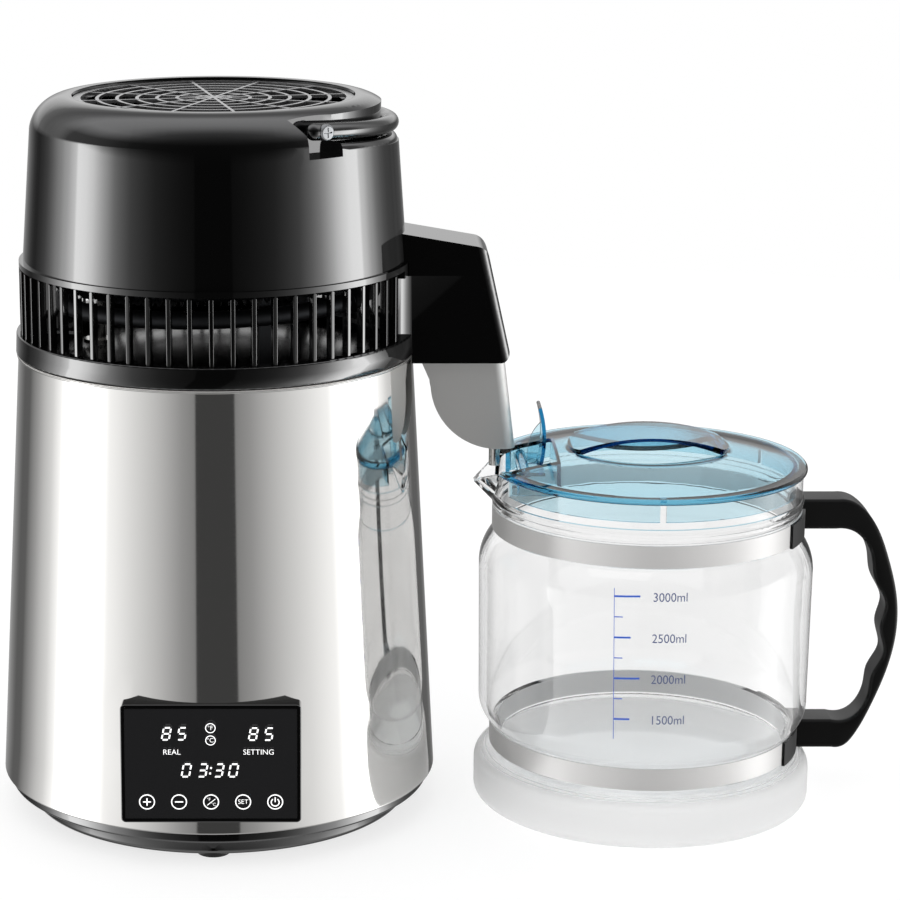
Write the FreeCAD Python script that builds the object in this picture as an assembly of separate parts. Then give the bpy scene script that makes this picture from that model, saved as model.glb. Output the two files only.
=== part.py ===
"""Countertop water distiller with a glass receiving jug, modelled piece by piece.

Units are millimetres.  +Z is up, the machine's own axis is the Z axis and the bench is z = 0.
The control panel faces -Y, and the arm and the jug lie along +X.
"""
import FreeCAD
import Part
import math
import os

V = FreeCAD.Vector
UP = V(0, 0, 1)

# ---- driving dimensions: machine body --------------------------------------------------
FOOT_R = 9.0
FOOT_PROUD = 2.5
FOOT_PITCH_R = 90.0
TRAY_FLOOR_T = 2.5
TRAY_WALL_T = 2.5
TRAY_LOW_R = 103.0
TRAY_TOP_R = 112.5
TRAY_STEP_Z = 13.0
SHELL_Z0 = 19.0
SHELL_H = 226.8
SHELL_BOT_R = 116.0
SHELL_TOP_R = 103.3
STEEL_T = 0.8
POT_BOT_Z = 62.0
POT_BOT_R = 90.0
POT_TOP_R = 94.0
POT_CORNER_R = 5.0
POT_RIM_PROUD = 0.4

# ---- driving dimensions: heater under the pot ------------------------------------------
HEATER_R = 55.0
HEATER_T = 6.0
ELEMENT_R = 43.0
ELEMENT_TUBE_R = 4.0
STUD_PITCH_R = 29.0
STUD_R = 2.5
NUT_T = 4.0
NUT_R = 4.5
SHIELD_Z = 38.0
SHIELD_R = 78.0
SHIELD_RIM_H = 10.0
BOSS_H = 6.5
CUTOUT_R = 8.0
CUTOUT_H = 8.0
CUTOUT_Y = 12.0

# ---- driving dimensions: control panel -------------------------------------------------
PANEL_W = 91.0
PANEL_H = 61.4
PANEL_MID_Z = 57.1
PANEL_PROUD = 2.2
PANEL_FRAME = 3.0
PANEL_WALL = 2.0
PANEL_DEPTH = 16.0
WINDOW_T = 1.5
DISPLAY_W = 62.0
DISPLAY_H = 32.0
DISPLAY_D = 6.5
BOARD_T = 1.6

# ---- driving dimensions: inlets --------------------------------------------------------
INLET_Z = 45.0
INLET_W = 31.0
INLET_H = 25.0
INLET_DEPTH = 20.0
SOCKET_R = 8.5
SOCKET_AZ = 66.0
HEAD_SOCKET_RISE = 65.2

# ---- driving dimensions: head ----------------------------------------------------------
WALL = 2.5
TRIM_R = 104.5
TRIM_H = 10.9
RIB_TOP_RISE = 46.6
RIB_R = 102.0
RIB_DEPTH = 3.8
RIB_W = 2.3
RIB_EDGE_R = 0.5
RIB_PITCH = 6.0
RIB_START = 1.0
COVER_FOOT_RISE = 49.6
COVER_BOT_R = 99.9
COVER_WAIST_R = 95.0
COVER_WAIST_RISE = 118.2
COVER_TOP_R = 73.0
COVER_TOP_RISE = 134.4
GRILLE_R = 68.4
GRILLE_RIM = 4.1
GRILLE_T = 2.4
GRILLE_DROP = 1.6
GRILLE_RINGS = 6
GRILLE_SPOKES = 12
FAN_R = 62.0
FAN_RISE = 101.2
FAN_HUB_R = 16.0
FAN_HUB_H = 15.0
FAN_BLADES = 7
MOTOR_R = 20.0
MOTOR_H = 26.0
SHAFT_R = 2.5
BRACKET_RISE = 95.2
BRACKET_T = 2.5
BRACKET_R = 78.0
COIL_R = 80.0
COIL_TUBE_R = 4.5
COIL_RISE = 21.0
COIL_PITCH = 14.0
COIL_TURNS = 4.5
PAN_DIP = 5.0
PAN_R = 92.4
PAN_SCREW_R = 94.2
SEAL_T = 1.4

# ---- driving dimensions: arm, guard and outlet -----------------------------------------
ARM_W = 38.0
ARM_SPLIT_RISE = 42.6
ARM_BOT_DROP = 3.6
ARM_TOP_RISE0 = 64.9
ARM_TOP_RISE1 = 57.0
ARM_END_X0 = 141.1
ARM_END_X1 = 154.7
ARM_WALL = 2.2
ARM_FLARE = 8.0
ARM_TOP_R = 8.0
ARM_BOT_R = 5.0
ARM_CORNER_R = 5.0
GUARD_W = 26.0
GUARD_BOT_Z = 194.9
GUARD_T = 1.0
GUARD_X0 = 107.4
GUARD_CURVE_R = 36.0
TUBE_R = 2.95
TUBE_X = 147.0
TUBE_TIP_Z = 183.3
TUBE_BEND_R = 12.0

# ---- driving dimensions: carrying bail -------------------------------------------------
BAIL_AZ = -52.2
BAIL_RISE = 124.4
BAIL_R = 91.2
BAIL_TUBE_R = 4.3
BAIL_GAP = 0.9
BAIL_DIP = 3.2
BAIL_END = 5.0
POCKET_DROP = 12.7
POCKET_W = 20.8
GROOVE_EDGE_R = 3.8
PIVOT_R = 2.2
PIVOT_HEAD_R = 4.1
PIVOT_SEAT = 2.4

# ---- driving dimensions: jug -----------------------------------------------------------
JUG_X = 228.4
GLASS_T = 3.0
FOOT_GLASS_R = 90.3
FOOT_GLASS_H = 19.0
BODY_R = 88.8
WAIST_R = 80.9
BAND_W = 11.7
BAND_T = 1.0
BAND_LOW_Z = 30.1
BAND_UP_Z = 149.3
NECK_R = 82.0
NECK_TOP_Z = 182.4
SPOUT_TIP_R = 99.0
SPOUT_DROP = 13.0
SPOUT_HALF_W = 21.0
SPOUT_NOSE = 5.0
CLAMP_AZ = 31.0
CLAMP_T = 1.6
EAR_REACH = 13.0
HANDLE_W = 20.0
HANDLE_TOP_T = 16.2
HANDLE_LOW_T = 15.8
HANDLE_RISE = 3.2
HANDLE_EDGE = 2.0

# ---- driving dimensions: lid and pouring flap ------------------------------------------
LID_R = 84.0
LID_RIM_T = 3.2
LID_T = 2.0
LID_DOME = 11.0
LID_SKIRT_R = 78.2
LID_SKIRT_H = 10.0
NOTCH_W = 52.0
NOTCH_X1 = -50.0
NOTCH_WALL_H = 9.0
GRIP_R = 42.5
GRIP_W = 40.0
GRIP_H = 5.3
GRIP_DEPTH = 6.5
FLAP_X0 = -69.6
FLAP_T = 2.0
FLAP_TAB_X = -57.9
FLAP_TAB_H = 33.3
FLAP_TAB_T = 2.0
FLAP_TAB_BOW = 2.2
FLAP_TAB_W = 18.0
HINGE_X = -66.0
HINGE_PIN_R = 1.5

# ---- clearances ------------------------------------------------------------------------
FIT = 0.05
SEAT = 0.3
SLIP = 0.6

# ---- derived places --------------------------------------------------------------------
SHELL_Z1 = SHELL_Z0 + SHELL_H
SHELL_SLOPE = (SHELL_BOT_R - SHELL_TOP_R) / SHELL_H


def above_rim(rise):
    """The head stands on the skin's rim: a height above it, rounded so that faces meet exactly."""
    return round(SHELL_Z1 + rise, 4)


HEAD_SOCKET_Z = above_rim(HEAD_SOCKET_RISE)
RIB_TOP_Z = above_rim(RIB_TOP_RISE)
COVER_Z0 = above_rim(COVER_FOOT_RISE)
COVER_WAIST_Z = above_rim(COVER_WAIST_RISE)
COVER_TOP_Z = above_rim(COVER_TOP_RISE)
FAN_Z = above_rim(FAN_RISE)
BRACKET_Z = above_rim(BRACKET_RISE)
COIL_Z0 = above_rim(COIL_RISE)
ARM_SPLIT_Z = above_rim(ARM_SPLIT_RISE)
ARM_TOP_Z0 = above_rim(ARM_TOP_RISE0)
ARM_TOP_Z1 = above_rim(ARM_TOP_RISE1)
BAIL_Z = above_rim(BAIL_RISE)
ARM_BOT_Z = above_rim(-ARM_BOT_DROP)
POT_RIM_Z = SHELL_Z1 + STEEL_T
TRIM_Z0 = POT_RIM_Z + SEAT
TRIM_Z1 = TRIM_Z0 + TRIM_H
TRAY_Z0 = FOOT_PROUD
TRAY_FLOOR_Z = TRAY_Z0 + TRAY_FLOOR_T
PLATE_Z1 = POT_BOT_Z - STEEL_T
PLATE_Z0 = PLATE_Z1 - HEATER_T
PAN_Z = POT_RIM_Z + SEAL_T
FLANGE_Z = PAN_Z + STEEL_T
GRILLE_Z1 = COVER_TOP_Z - GRILLE_DROP
GRILLE_Z0 = GRILLE_Z1 - GRILLE_T
LID_Z = NECK_TOP_Z + SEAT
GROOVE_R = BAIL_R - BAIL_TUBE_R - BAIL_GAP
GROOVE_Z = BAIL_Z - BAIL_TUBE_R - BAIL_GAP
POCKET_Z = BAIL_Z - POCKET_DROP


# ---- small modelling helpers -----------------------------------------------------------
def box(x0, x1, y0, y1, z0, z1):
    return Part.makeBox(x1 - x0, y1 - y0, z1 - z0, V(x0, y0, z0))


def cyl(r, z0, z1, x=0.0, y=0.0):
    return Part.makeCylinder(r, z1 - z0, V(x, y, z0))


def ring(r_out, r_in, z0, z1, x=0.0, y=0.0):
    return cyl(r_out, z0, z1, x, y).cut(cyl(r_in, z0 - 1, z1 + 1, x, y))


def outline(path):
    """A closed wire in the XZ plane: (x, z) points, ("arc", mid, end) for round stretches, and
    ("curve", points) for a free curve through several points."""
    edges = []
    here = V(path[0][0], 0, path[0][1])
    first = here
    for step in path[1:]:
        if step[0] == "arc":
            middle, end = V(step[1][0], 0, step[1][1]), V(step[2][0], 0, step[2][1])
            edges.append(Part.Arc(here, middle, end).toShape())
        elif step[0] == "curve":
            points = [here] + [V(p[0], 0, p[1]) for p in step[1:]]
            end = points[-1]
            spline = Part.BSplineCurve()
            spline.interpolate(points)
            edges.append(spline.toShape())
        else:
            end = V(step[0], 0, step[1])
            edges.append(Part.LineSegment(here, end).toShape())
        here = end
    if (here - first).Length > 1e-6:
        edges.append(Part.LineSegment(here, first).toShape())
    return Part.Wire(edges)


def turned(path, angle=360.0, start=0.0):
    """Revolve an XZ outline about Z."""
    solid = Part.Face(outline(path)).revolve(V(0, 0, 0), UP, angle)
    solid.rotate(V(0, 0, 0), UP, start)
    return solid


def slab(path, y0, y1):
    """Push an XZ outline along Y."""
    face = Part.Face(outline(path))
    face.translate(V(0, y0, 0))
    return face.extrude(V(0, y1 - y0, 0))


def around(shape, count, start=0.0, step=None):
    """Copies of a shape turned about Z."""
    turn = step if step is not None else 360.0 / count
    copies = []
    for i in range(count):
        copy = shape.copy()
        copy.rotate(V(0, 0, 0), UP, start + i * turn)
        copies.append(copy)
    return copies


def join(shapes):
    first = shapes[0]
    return first.fuse(shapes[1:]).removeSplitter() if len(shapes) > 1 else first


def at_jug(shape):
    shape.translate(V(JUG_X, 0, 0))
    return shape


def round_edges(shape, radius, pick):
    edges = [e for e in shape.Edges if pick(e)]
    return shape.makeFillet(radius, edges)


def shell_r(z):
    """Outside radius of the steel body at a height."""
    return SHELL_BOT_R - SHELL_SLOPE * (z - SHELL_Z0)


def pot_r(z):
    """Inside radius of the pot at a height."""
    return POT_BOT_R + (POT_TOP_R - POT_BOT_R) * (z - POT_BOT_Z) / (SHELL_Z1 - POT_BOT_Z)


def screw(head_r, head_h, shank_r, length, cross=True):
    """A pan-head screw standing on z = 0 with its shank pointing down."""
    body = cyl(head_r, 0, head_h).fuse(cyl(shank_r, -length, 0))
    body = round_edges(body, head_h * 0.45, lambda e: e.BoundBox.ZMin > head_h - 0.01)
    if cross:
        for turn in (0.0, 90.0):
            slot = box(-head_r * 0.62, head_r * 0.62, -0.35, 0.35, head_h - 0.8, head_h + 1)
            slot.rotate(V(0, 0, 0), UP, turn)
            body = body.cut(slot)
    return body


def on_radius(shape, radius, z, azimuth):
    """Turn a shape that points along +Z so that it points outwards, at a radius and an azimuth."""
    shape.rotate(V(0, 0, 0), V(0, 1, 0), 90)
    shape.translate(V(radius, 0, z))
    shape.rotate(V(0, 0, 0), UP, azimuth)
    return shape


def panel_frame(shape):
    """Move a shape from the panel's own frame (y = 0 on the steel, +y inwards) to its place."""
    tilt = math.degrees(math.atan(SHELL_SLOPE))
    shape.rotate(V(0, 0, 0), V(1, 0, 0), -tilt)
    shape.translate(V(0, -shell_r(PANEL_MID_Z), PANEL_MID_Z))
    return shape


# ---- base: feet, tray, steel body and pot ----------------------------------------------
def rubber_feet():
    foot = cyl(FOOT_R, 0, FOOT_PROUD + 1.2, FOOT_PITCH_R)
    foot = round_edges(foot, 1.0, lambda e: e.BoundBox.ZMax < 0.01)
    foot = foot.cut(cyl(FOOT_R * 0.3, -1, 1.4, FOOT_PITCH_R))
    return Part.Compound(around(foot, 4))


def boss_places():
    return [(STUD_PITCH_R * math.cos(math.radians(a)), STUD_PITCH_R * math.sin(math.radians(a)))
            for a in (30, 150, 270)]


def base_tray():
    low_in, top_in = TRAY_LOW_R - TRAY_WALL_T, TRAY_TOP_R - TRAY_WALL_T
    tray = turned([
        (0, TRAY_Z0), (TRAY_LOW_R - 4.5, TRAY_Z0),
        ("arc", (TRAY_LOW_R - 2.2, TRAY_Z0 + 0.9), (TRAY_LOW_R - 1.2, TRAY_Z0 + 3.0)),
        (TRAY_LOW_R, TRAY_STEP_Z), (TRAY_TOP_R - 1.5, TRAY_STEP_Z),
        ("arc", (TRAY_TOP_R - 0.4, TRAY_STEP_Z + 0.5), (TRAY_TOP_R, TRAY_STEP_Z + 1.6)),
        (TRAY_TOP_R, SHELL_Z0), (top_in, SHELL_Z0),
        (top_in, TRAY_STEP_Z + TRAY_FLOOR_T), (low_in, TRAY_STEP_Z + TRAY_FLOOR_T),
        (low_in, TRAY_FLOOR_Z), (0, TRAY_FLOOR_Z)])
    extra = [cyl(7.0, TRAY_FLOOR_Z, TRAY_Z0 + BOSS_H, x, y) for x, y in boss_places()]
    extra += around(cyl(FOOT_R + 3, TRAY_FLOOR_Z, TRAY_FLOOR_Z + 1.5, FOOT_PITCH_R), 4)
    tray = tray.fuse(extra).removeSplitter()
    cuts = around(cyl(FOOT_R + FIT, TRAY_Z0 - 1, TRAY_Z0 + 1.2, FOOT_PITCH_R), 4)
    for x, y in boss_places():
        cuts.append(cyl(STUD_R + 0.2, TRAY_Z0 - 1, TRAY_Z0 + BOSS_H + 1, x, y))
        cuts.append(cyl(NUT_R + 0.3, TRAY_Z0 - 1, TRAY_Z0 + 3.2, x, y))
    vent = box(48, 74, -1.6, 1.6, TRAY_Z0 - 1, TRAY_FLOOR_Z + 1)
    cuts += around(vent, 24, 7.5)
    return tray.cut(Part.Compound(cuts))


def tray_screws():
    screws = []
    for x, y in boss_places():
        s = screw(NUT_R, 2.4, STUD_R - 0.4, 11.0)
        s.rotate(V(0, 0, 0), V(1, 0, 0), 180)
        s.translate(V(x, y, TRAY_Z0 + 3.2))
        screws.append(s)
    return Part.Compound(screws)


def outer_shell():
    lip = TRAY_TOP_R - 6.0
    shell = turned([
        (lip, SHELL_Z0), (SHELL_BOT_R - 1.0, SHELL_Z0),
        ("arc", (SHELL_BOT_R - 0.3, SHELL_Z0 + 0.3), (shell_r(SHELL_Z0 + 1.2), SHELL_Z0 + 1.2)),
        (SHELL_TOP_R, SHELL_Z1), (SHELL_TOP_R - STEEL_T, SHELL_Z1),
        (SHELL_BOT_R - STEEL_T, SHELL_Z0 + 1.6), (SHELL_BOT_R - 1.6, SHELL_Z0 + STEEL_T),
        (lip, SHELL_Z0 + STEEL_T)])
    half_w, half_h = PANEL_W / 2 - PANEL_FRAME + FIT, PANEL_H / 2 - PANEL_FRAME + FIT
    window = panel_frame(box(-half_w, half_w, -6, 30, -half_h, half_h))
    inlet = box(-INLET_W / 2 + 1.9, INLET_W / 2 - 1.9, 90, 130,
                INLET_Z - INLET_H / 2 + 2.6, INLET_Z + INLET_H / 2 - 2.6)
    socket = on_radius(cyl(SOCKET_R - 2 + FIT, -20, 20), shell_r(INLET_Z), INLET_Z, SOCKET_AZ)
    return shell.cut(Part.Compound([window, inlet, socket]))


def boiler_pot():
    rim = SHELL_TOP_R + POT_RIM_PROUD
    c = POT_CORNER_R
    k = c * (1 - math.sqrt(0.5))
    out = STEEL_T
    low_in, low_out = POT_BOT_R, POT_BOT_R + out
    return turned([
        (0, POT_BOT_Z - out), (low_out - c, POT_BOT_Z - out),
        ("arc", (low_out - k, POT_BOT_Z - out + k), (low_out, POT_BOT_Z - out + c)),
        (POT_TOP_R + out, SHELL_Z1), (rim, SHELL_Z1),
        ("arc", (rim + out / 2, SHELL_Z1 + out / 2), (rim, POT_RIM_Z)),
        (POT_TOP_R, POT_RIM_Z), (low_in, POT_BOT_Z + c - out),
        ("arc", (low_in - k, POT_BOT_Z + k - 0.1), (low_in - c + out, POT_BOT_Z)),
        (0, POT_BOT_Z)])


def stud_holes(z0, z1):
    return [cyl(STUD_R + 0.2, z0, z1, x, y) for x, y in boss_places()]


def heater_plate():
    plate = cyl(HEATER_R, PLATE_Z0, PLATE_Z1)
    plate = round_edges(plate, 1.5, lambda e: e.BoundBox.ZMax < PLATE_Z0 + 0.01)
    return plate.cut(Part.Compound(stud_holes(PLATE_Z0 - 1, PLATE_Z1 + 1)))


def heating_element():
    z = PLATE_Z0 - ELEMENT_TUBE_R
    profile = Part.Face(Part.Wire(Part.makeCircle(ELEMENT_TUBE_R, V(ELEMENT_R, 0, z), V(0, 1, 0))))
    loop = profile.revolve(V(0, 0, 0), UP, 320)
    loop.rotate(V(0, 0, 0), UP, 20)
    ends = []
    for azimuth in (20, 340):
        a = math.radians(azimuth)
        x, y = ELEMENT_R * math.cos(a), ELEMENT_R * math.sin(a)
        ends.append(cyl(ELEMENT_TUBE_R, z - 6.0, z, x, y))
        ends.append(cyl(1.4, z - 9.0, z, x, y))
        ends.append(Part.makeSphere(ELEMENT_TUBE_R, V(x, y, z)))
    return loop.fuse(ends)


def thermal_cutouts():
    pieces = []
    for side in (-1, 1):
        can = cyl(CUTOUT_R, PLATE_Z0 - CUTOUT_H, PLATE_Z0, 0, side * CUTOUT_Y)
        tags = [box(x - 1.5, x + 1.5, side * CUTOUT_Y - 0.4, side * CUTOUT_Y + 0.4,
                    PLATE_Z0 - CUTOUT_H - 5, PLATE_Z0 - CUTOUT_H + 1) for x in (-4, 4)]
        pieces.append(can.fuse(tags))
    return Part.Compound(pieces)


def heater_studs():
    top = PLATE_Z1
    return Part.Compound([cyl(STUD_R, SHIELD_Z - 10, top, x, y) for x, y in boss_places()])


def hex_prism(across_r, z0, z1, x, y):
    points = [V(x + across_r * math.cos(math.radians(60 * i)),
                y + across_r * math.sin(math.radians(60 * i)), z0) for i in range(7)]
    return Part.Face(Part.makePolygon(points)).extrude(V(0, 0, z1 - z0))


def heater_nuts():
    nuts = []
    for x, y in boss_places():
        for z0, height in ((PLATE_Z0 - NUT_T, NUT_T), (SHIELD_Z + STEEL_T, NUT_T)):
            nut = hex_prism(NUT_R, z0, z0 + height, x, y)
            nuts.append(nut.cut(cyl(STUD_R + FIT, z0 - 1, z0 + height + 1, x, y)))
    return Part.Compound(nuts)


def spacers():
    pillars = []
    z0 = TRAY_Z0 + BOSS_H
    for x, y in boss_places():
        pillar = hex_prism(NUT_R + 1.0, z0, SHIELD_Z, x, y)
        pillars.append(pillar.cut(cyl(STUD_R + FIT, z0 - 1, SHIELD_Z + 1, x, y)))
    return Part.Compound(pillars)


def heat_shield():
    dish = turned([
        (0, SHIELD_Z), (SHIELD_R - 3, SHIELD_Z),
        ("arc", (SHIELD_R - 0.9, SHIELD_Z + 0.9), (SHIELD_R, SHIELD_Z + 3)),
        (SHIELD_R, SHIELD_Z + SHIELD_RIM_H), (SHIELD_R - STEEL_T, SHIELD_Z + SHIELD_RIM_H),
        (SHIELD_R - STEEL_T, SHIELD_Z + 3), (SHIELD_R - 3, SHIELD_Z + STEEL_T),
        (0, SHIELD_Z + STEEL_T)])
    return dish.cut(Part.Compound(stud_holes(SHIELD_Z - 1, SHIELD_Z + 2)))


# ---- control panel ---------------------------------------------------------------------
def panel_bezel():
    w, h = PANEL_W / 2, PANEL_H / 2
    sleeve_w, sleeve_h = w - PANEL_FRAME, h - PANEL_FRAME
    frame = box(-w, w, -PANEL_PROUD, PANEL_W * PANEL_W / (8 * SHELL_TOP_R) + 1, -h, h)
    frame = round_edges(frame, 2.5, lambda e: e.BoundBox.YLength > 5)
    frame = round_edges(frame, 0.7, lambda e: e.BoundBox.YMax < -PANEL_PROUD + 0.01)
    body = turned([(0, 0), (shell_r(0) + FIT, 0), (shell_r(SHELL_Z1) + FIT, SHELL_Z1), (0, SHELL_Z1)])
    frame = panel_frame(frame).cut(body)
    sleeve = panel_frame(box(-sleeve_w, sleeve_w, -PANEL_PROUD + 1, PANEL_DEPTH, -sleeve_h, sleeve_h))
    hollow = panel_frame(box(-sleeve_w + PANEL_WALL, sleeve_w - PANEL_WALL, -5, PANEL_DEPTH + 1,
                             -sleeve_h + PANEL_WALL, sleeve_h - PANEL_WALL))
    rabbet = panel_frame(box(-w + PANEL_WALL, w - PANEL_WALL, -PANEL_PROUD - 1,
                             -PANEL_PROUD + WINDOW_T + 0.3, -h + PANEL_WALL, h - PANEL_WALL))
    return frame.fuse(sleeve).cut(Part.Compound([hollow, rabbet])).removeSplitter()


def panel_window():
    w, h = PANEL_W / 2 - PANEL_WALL - FIT, PANEL_H / 2 - PANEL_WALL - FIT
    pane = box(-w, w, -PANEL_PROUD + 0.3, -PANEL_PROUD + 0.3 + WINDOW_T, -h, h)
    return panel_frame(pane)


def display_module():
    y0 = -PANEL_PROUD + 0.3 + WINDOW_T + 0.2
    z0 = PANEL_H / 2 - PANEL_WALL - PANEL_FRAME - 2 - DISPLAY_H
    block = box(-DISPLAY_W / 2, DISPLAY_W / 2, y0, y0 + DISPLAY_D, z0, z0 + DISPLAY_H)
    return panel_frame(block)


def board_y():
    return -PANEL_PROUD + 0.5 + WINDOW_T + DISPLAY_D


def control_board():
    w, h = PANEL_W / 2 - PANEL_FRAME - PANEL_WALL - 0.5, PANEL_H / 2 - PANEL_FRAME - PANEL_WALL - 0.5
    y = board_y()
    board = box(-w, w, y, y + BOARD_T, -h, h)
    chips = [box(-30, -18, y + BOARD_T, y + BOARD_T + 4, -10, 6),
             box(-8, 6, y + BOARD_T, y + BOARD_T + 2, -8, 6),
             box(16, 32, y + BOARD_T, y + BOARD_T + 5, -14, -2)]
    return panel_frame(board.fuse(chips))


def touch_springs():
    y0, y1 = -PANEL_PROUD + 0.3 + WINDOW_T, board_y()
    springs = []
    for i in range(5):
        x = (i - 2) * PANEL_W * 0.18
        pad = Part.makeCylinder(4.0, y1 - y0, V(x, y0, -PANEL_H / 2 + 11.5), V(0, 1, 0))
        core = Part.makeCylinder(3.2, y1 - y0 - 1, V(x, y0 + 1, -PANEL_H / 2 + 11.5), V(0, 1, 0))
        springs.append(pad.cut(core))
    return panel_frame(Part.Compound(springs))


# ---- inlets ----------------------------------------------------------------------------
def power_inlet():
    r = shell_r(INLET_Z)
    face = r + 2.6
    w, h = INLET_W / 2, INLET_H / 2
    flange = box(-w, w, r - 2, face, INLET_Z - h, INLET_Z + h)
    flange = round_edges(flange, 2.0, lambda e: e.BoundBox.YLength > 4)
    body = turned([(0, 0), (shell_r(0) + FIT, 0), (shell_r(SHELL_Z1) + FIT, SHELL_Z1), (0, SHELL_Z1)])
    flange = flange.cut(body)
    block = box(-w + 2, w - 2, face - INLET_DEPTH - 2, face - 1, INLET_Z - h + 2.7, INLET_Z + h - 2.7)
    well = box(-w + 3.6, w - 3.6, face - INLET_DEPTH + 4, face + 1, INLET_Z - h + 4.6, INLET_Z + h - 4.6)
    inlet = flange.fuse(block).cut(well)
    blades = [box(x - 1.0, x + 1.0, face - INLET_DEPTH, face - 6, INLET_Z + z - 2, INLET_Z + z + 2)
              for x, z in ((-6.5, -1.5), (6.5, -1.5), (0, 2.5))]
    return inlet.fuse(blades).removeSplitter()


def round_socket(wall_r):
    """A small two-pin socket standing on z = 0 and pointing up."""
    body = cyl(SOCKET_R, 0.2, 2.4).fuse(cyl(SOCKET_R - 2, -7, 1))
    body = body.cut(cyl(SOCKET_R - 3.5, -5.5, 4))
    pins = [cyl(0.9, -6, 0.5, 0, s * 2.2) for s in (-1, 1)]
    return body.fuse(pins)


def fan_socket():
    socket = on_radius(round_socket(SOCKET_R), shell_r(INLET_Z), INLET_Z, SOCKET_AZ)
    body = turned([(0, 0), (shell_r(0) + FIT, 0), (shell_r(SHELL_Z1) + FIT, SHELL_Z1), (0, SHELL_Z1)])
    plug = on_radius(cyl(SOCKET_R - 2, -9, 3), shell_r(INLET_Z), INLET_Z, SOCKET_AZ)
    return socket.cut(body.cut(plug))


def cover_r(z):
    """Outside radius of the head cover's wall at a height below the shoulder."""
    share = (z - COVER_Z0) / (COVER_WAIST_Z - COVER_Z0)
    return COVER_BOT_R + (COVER_WAIST_R - COVER_BOT_R) * share


def fan_inlet():
    socket = on_radius(round_socket(SOCKET_R), cover_r(HEAD_SOCKET_Z), HEAD_SOCKET_Z, 90)
    body = turned([(0, COVER_Z0), (COVER_BOT_R + FIT, COVER_Z0),
                   (COVER_WAIST_R + FIT, COVER_WAIST_Z), (0, COVER_WAIST_Z)])
    plug = on_radius(cyl(SOCKET_R - 2, -9, 3), cover_r(HEAD_SOCKET_Z), HEAD_SOCKET_Z, 90)
    return socket.cut(body.cut(plug))


# ---- head: cover, vent housing and arm -------------------------------------------------
def cover_profile(inset):
    """The head's turned outline, brought in by a wall; its shoulder is one round stretch."""
    r0, r1 = COVER_BOT_R - inset, COVER_WAIST_R - inset
    top, rim = COVER_TOP_Z - inset, COVER_TOP_R
    rise, reach = top - (COVER_WAIST_Z - inset), r1 - rim
    middle = (rim + reach * math.sqrt(0.5), top - rise * (1 - math.sqrt(0.5)))
    return [(0, COVER_Z0), (r0, COVER_Z0), (r1, COVER_WAIST_Z - inset),
            ("arc", middle, (rim, top)), (0, top)]


def arm_side(inset, half):
    """The arm seen from the side, rounded at both corners of its far end, as a slab."""
    x0, x1 = ARM_END_X0 - inset, ARM_END_X1 - inset
    top0, top1, low = ARM_TOP_Z0 - inset, ARM_TOP_Z1 - inset, ARM_BOT_Z + inset
    root = COVER_WAIST_R - 12
    end = V(x0 - x1, 0, top1 - low).normalize()
    top = V(COVER_WAIST_R - x0, 0, top0 - top1).normalize()
    high, foot = ARM_TOP_R - inset, ARM_BOT_R - inset
    reach = high * math.tan((math.pi - end.negative().getAngle(top)) / 2)
    lift = foot * math.tan((math.pi - end.getAngle(V(-1, 0, 0))) / 2)
    corner, heel = V(x0, 0, top1), V(x1, 0, low)
    a, b = corner - end * reach, corner + top * reach
    c, d = heel - V(lift, 0, 0), heel + end * lift
    m = corner + (top - end).normalize() * (math.hypot(reach, high) - high)
    n = heel + (end - V(1, 0, 0)).normalize() * (math.hypot(lift, foot) - foot)
    return slab([(root, low), (c.x, c.z), ("arc", (n.x, n.z), (d.x, d.z)), (a.x, a.z),
                 ("arc", (m.x, m.z), (b.x, b.z)), (COVER_WAIST_R, top0), (root, top0)], -half, half)


def arm_block(inset, z0, z1):
    """The arm's solid form between two heights; its upright end corners follow the leaning end."""
    half, r = ARM_W / 2 - inset, ARM_CORNER_R - inset
    slope = (ARM_END_X1 - ARM_END_X0) / (ARM_TOP_Z1 - ARM_BOT_Z)
    low, high = ARM_BOT_Z - 10, ARM_TOP_Z0 + 10
    x = ARM_END_X1 + slope * 10 - inset
    k = r * (1 - math.sqrt(0.5))
    edges = [Part.makeLine(V(60, -half, low), V(x - r, -half, low)),
             Part.Arc(V(x - r, -half, low), V(x - k, -half + k, low), V(x, -half + r, low)).toShape(),
             Part.makeLine(V(x, -half + r, low), V(x, half - r, low)),
             Part.Arc(V(x, half - r, low), V(x - k, half - k, low), V(x - r, half, low)).toShape(),
             Part.makeLine(V(x - r, half, low), V(60, half, low)),
             Part.makeLine(V(60, half, low), V(60, -half, low))]
    plan = Part.Face(Part.Wire(edges)).extrude(V(slope * (low - high), 0, high - low))
    form = arm_side(inset, 60).common(plan)
    return form.common(box(0, 2 * ARM_END_X1, -60, 60, z0, z1))


def arm_flare(z0, z1):
    """The concave fillets where the arm's two sides run into the round housing."""
    x0, x1 = COVER_WAIST_R - 10, COVER_WAIST_R - 10 + 3.2 * ARM_FLARE
    y0 = ARM_W / 2 - 1.0
    y1 = ARM_W / 2 + ARM_FLARE
    wings = []
    for side in (-1, 1):
        edges = [Part.LineSegment(V(x0, side * y0, z0), V(x0, side * y1, z0)).toShape(),
                 Part.LineSegment(V(x0, side * y1, z0), V(x0 + 1.1 * ARM_FLARE, side * y1, z0)).toShape(),
                 Part.Arc(V(x0 + 1.1 * ARM_FLARE, side * y1, z0),
                          V(x0 + 1.75 * ARM_FLARE, side * (y0 + 2.8), z0),
                          V(x1, side * y0, z0)).toShape(),
                 Part.LineSegment(V(x1, side * y0, z0), V(x0, side * y0, z0)).toShape()]
        wings.append(Part.Face(Part.Wire(edges)).extrude(V(0, 0, z1 - z0)))
    return wings


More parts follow.
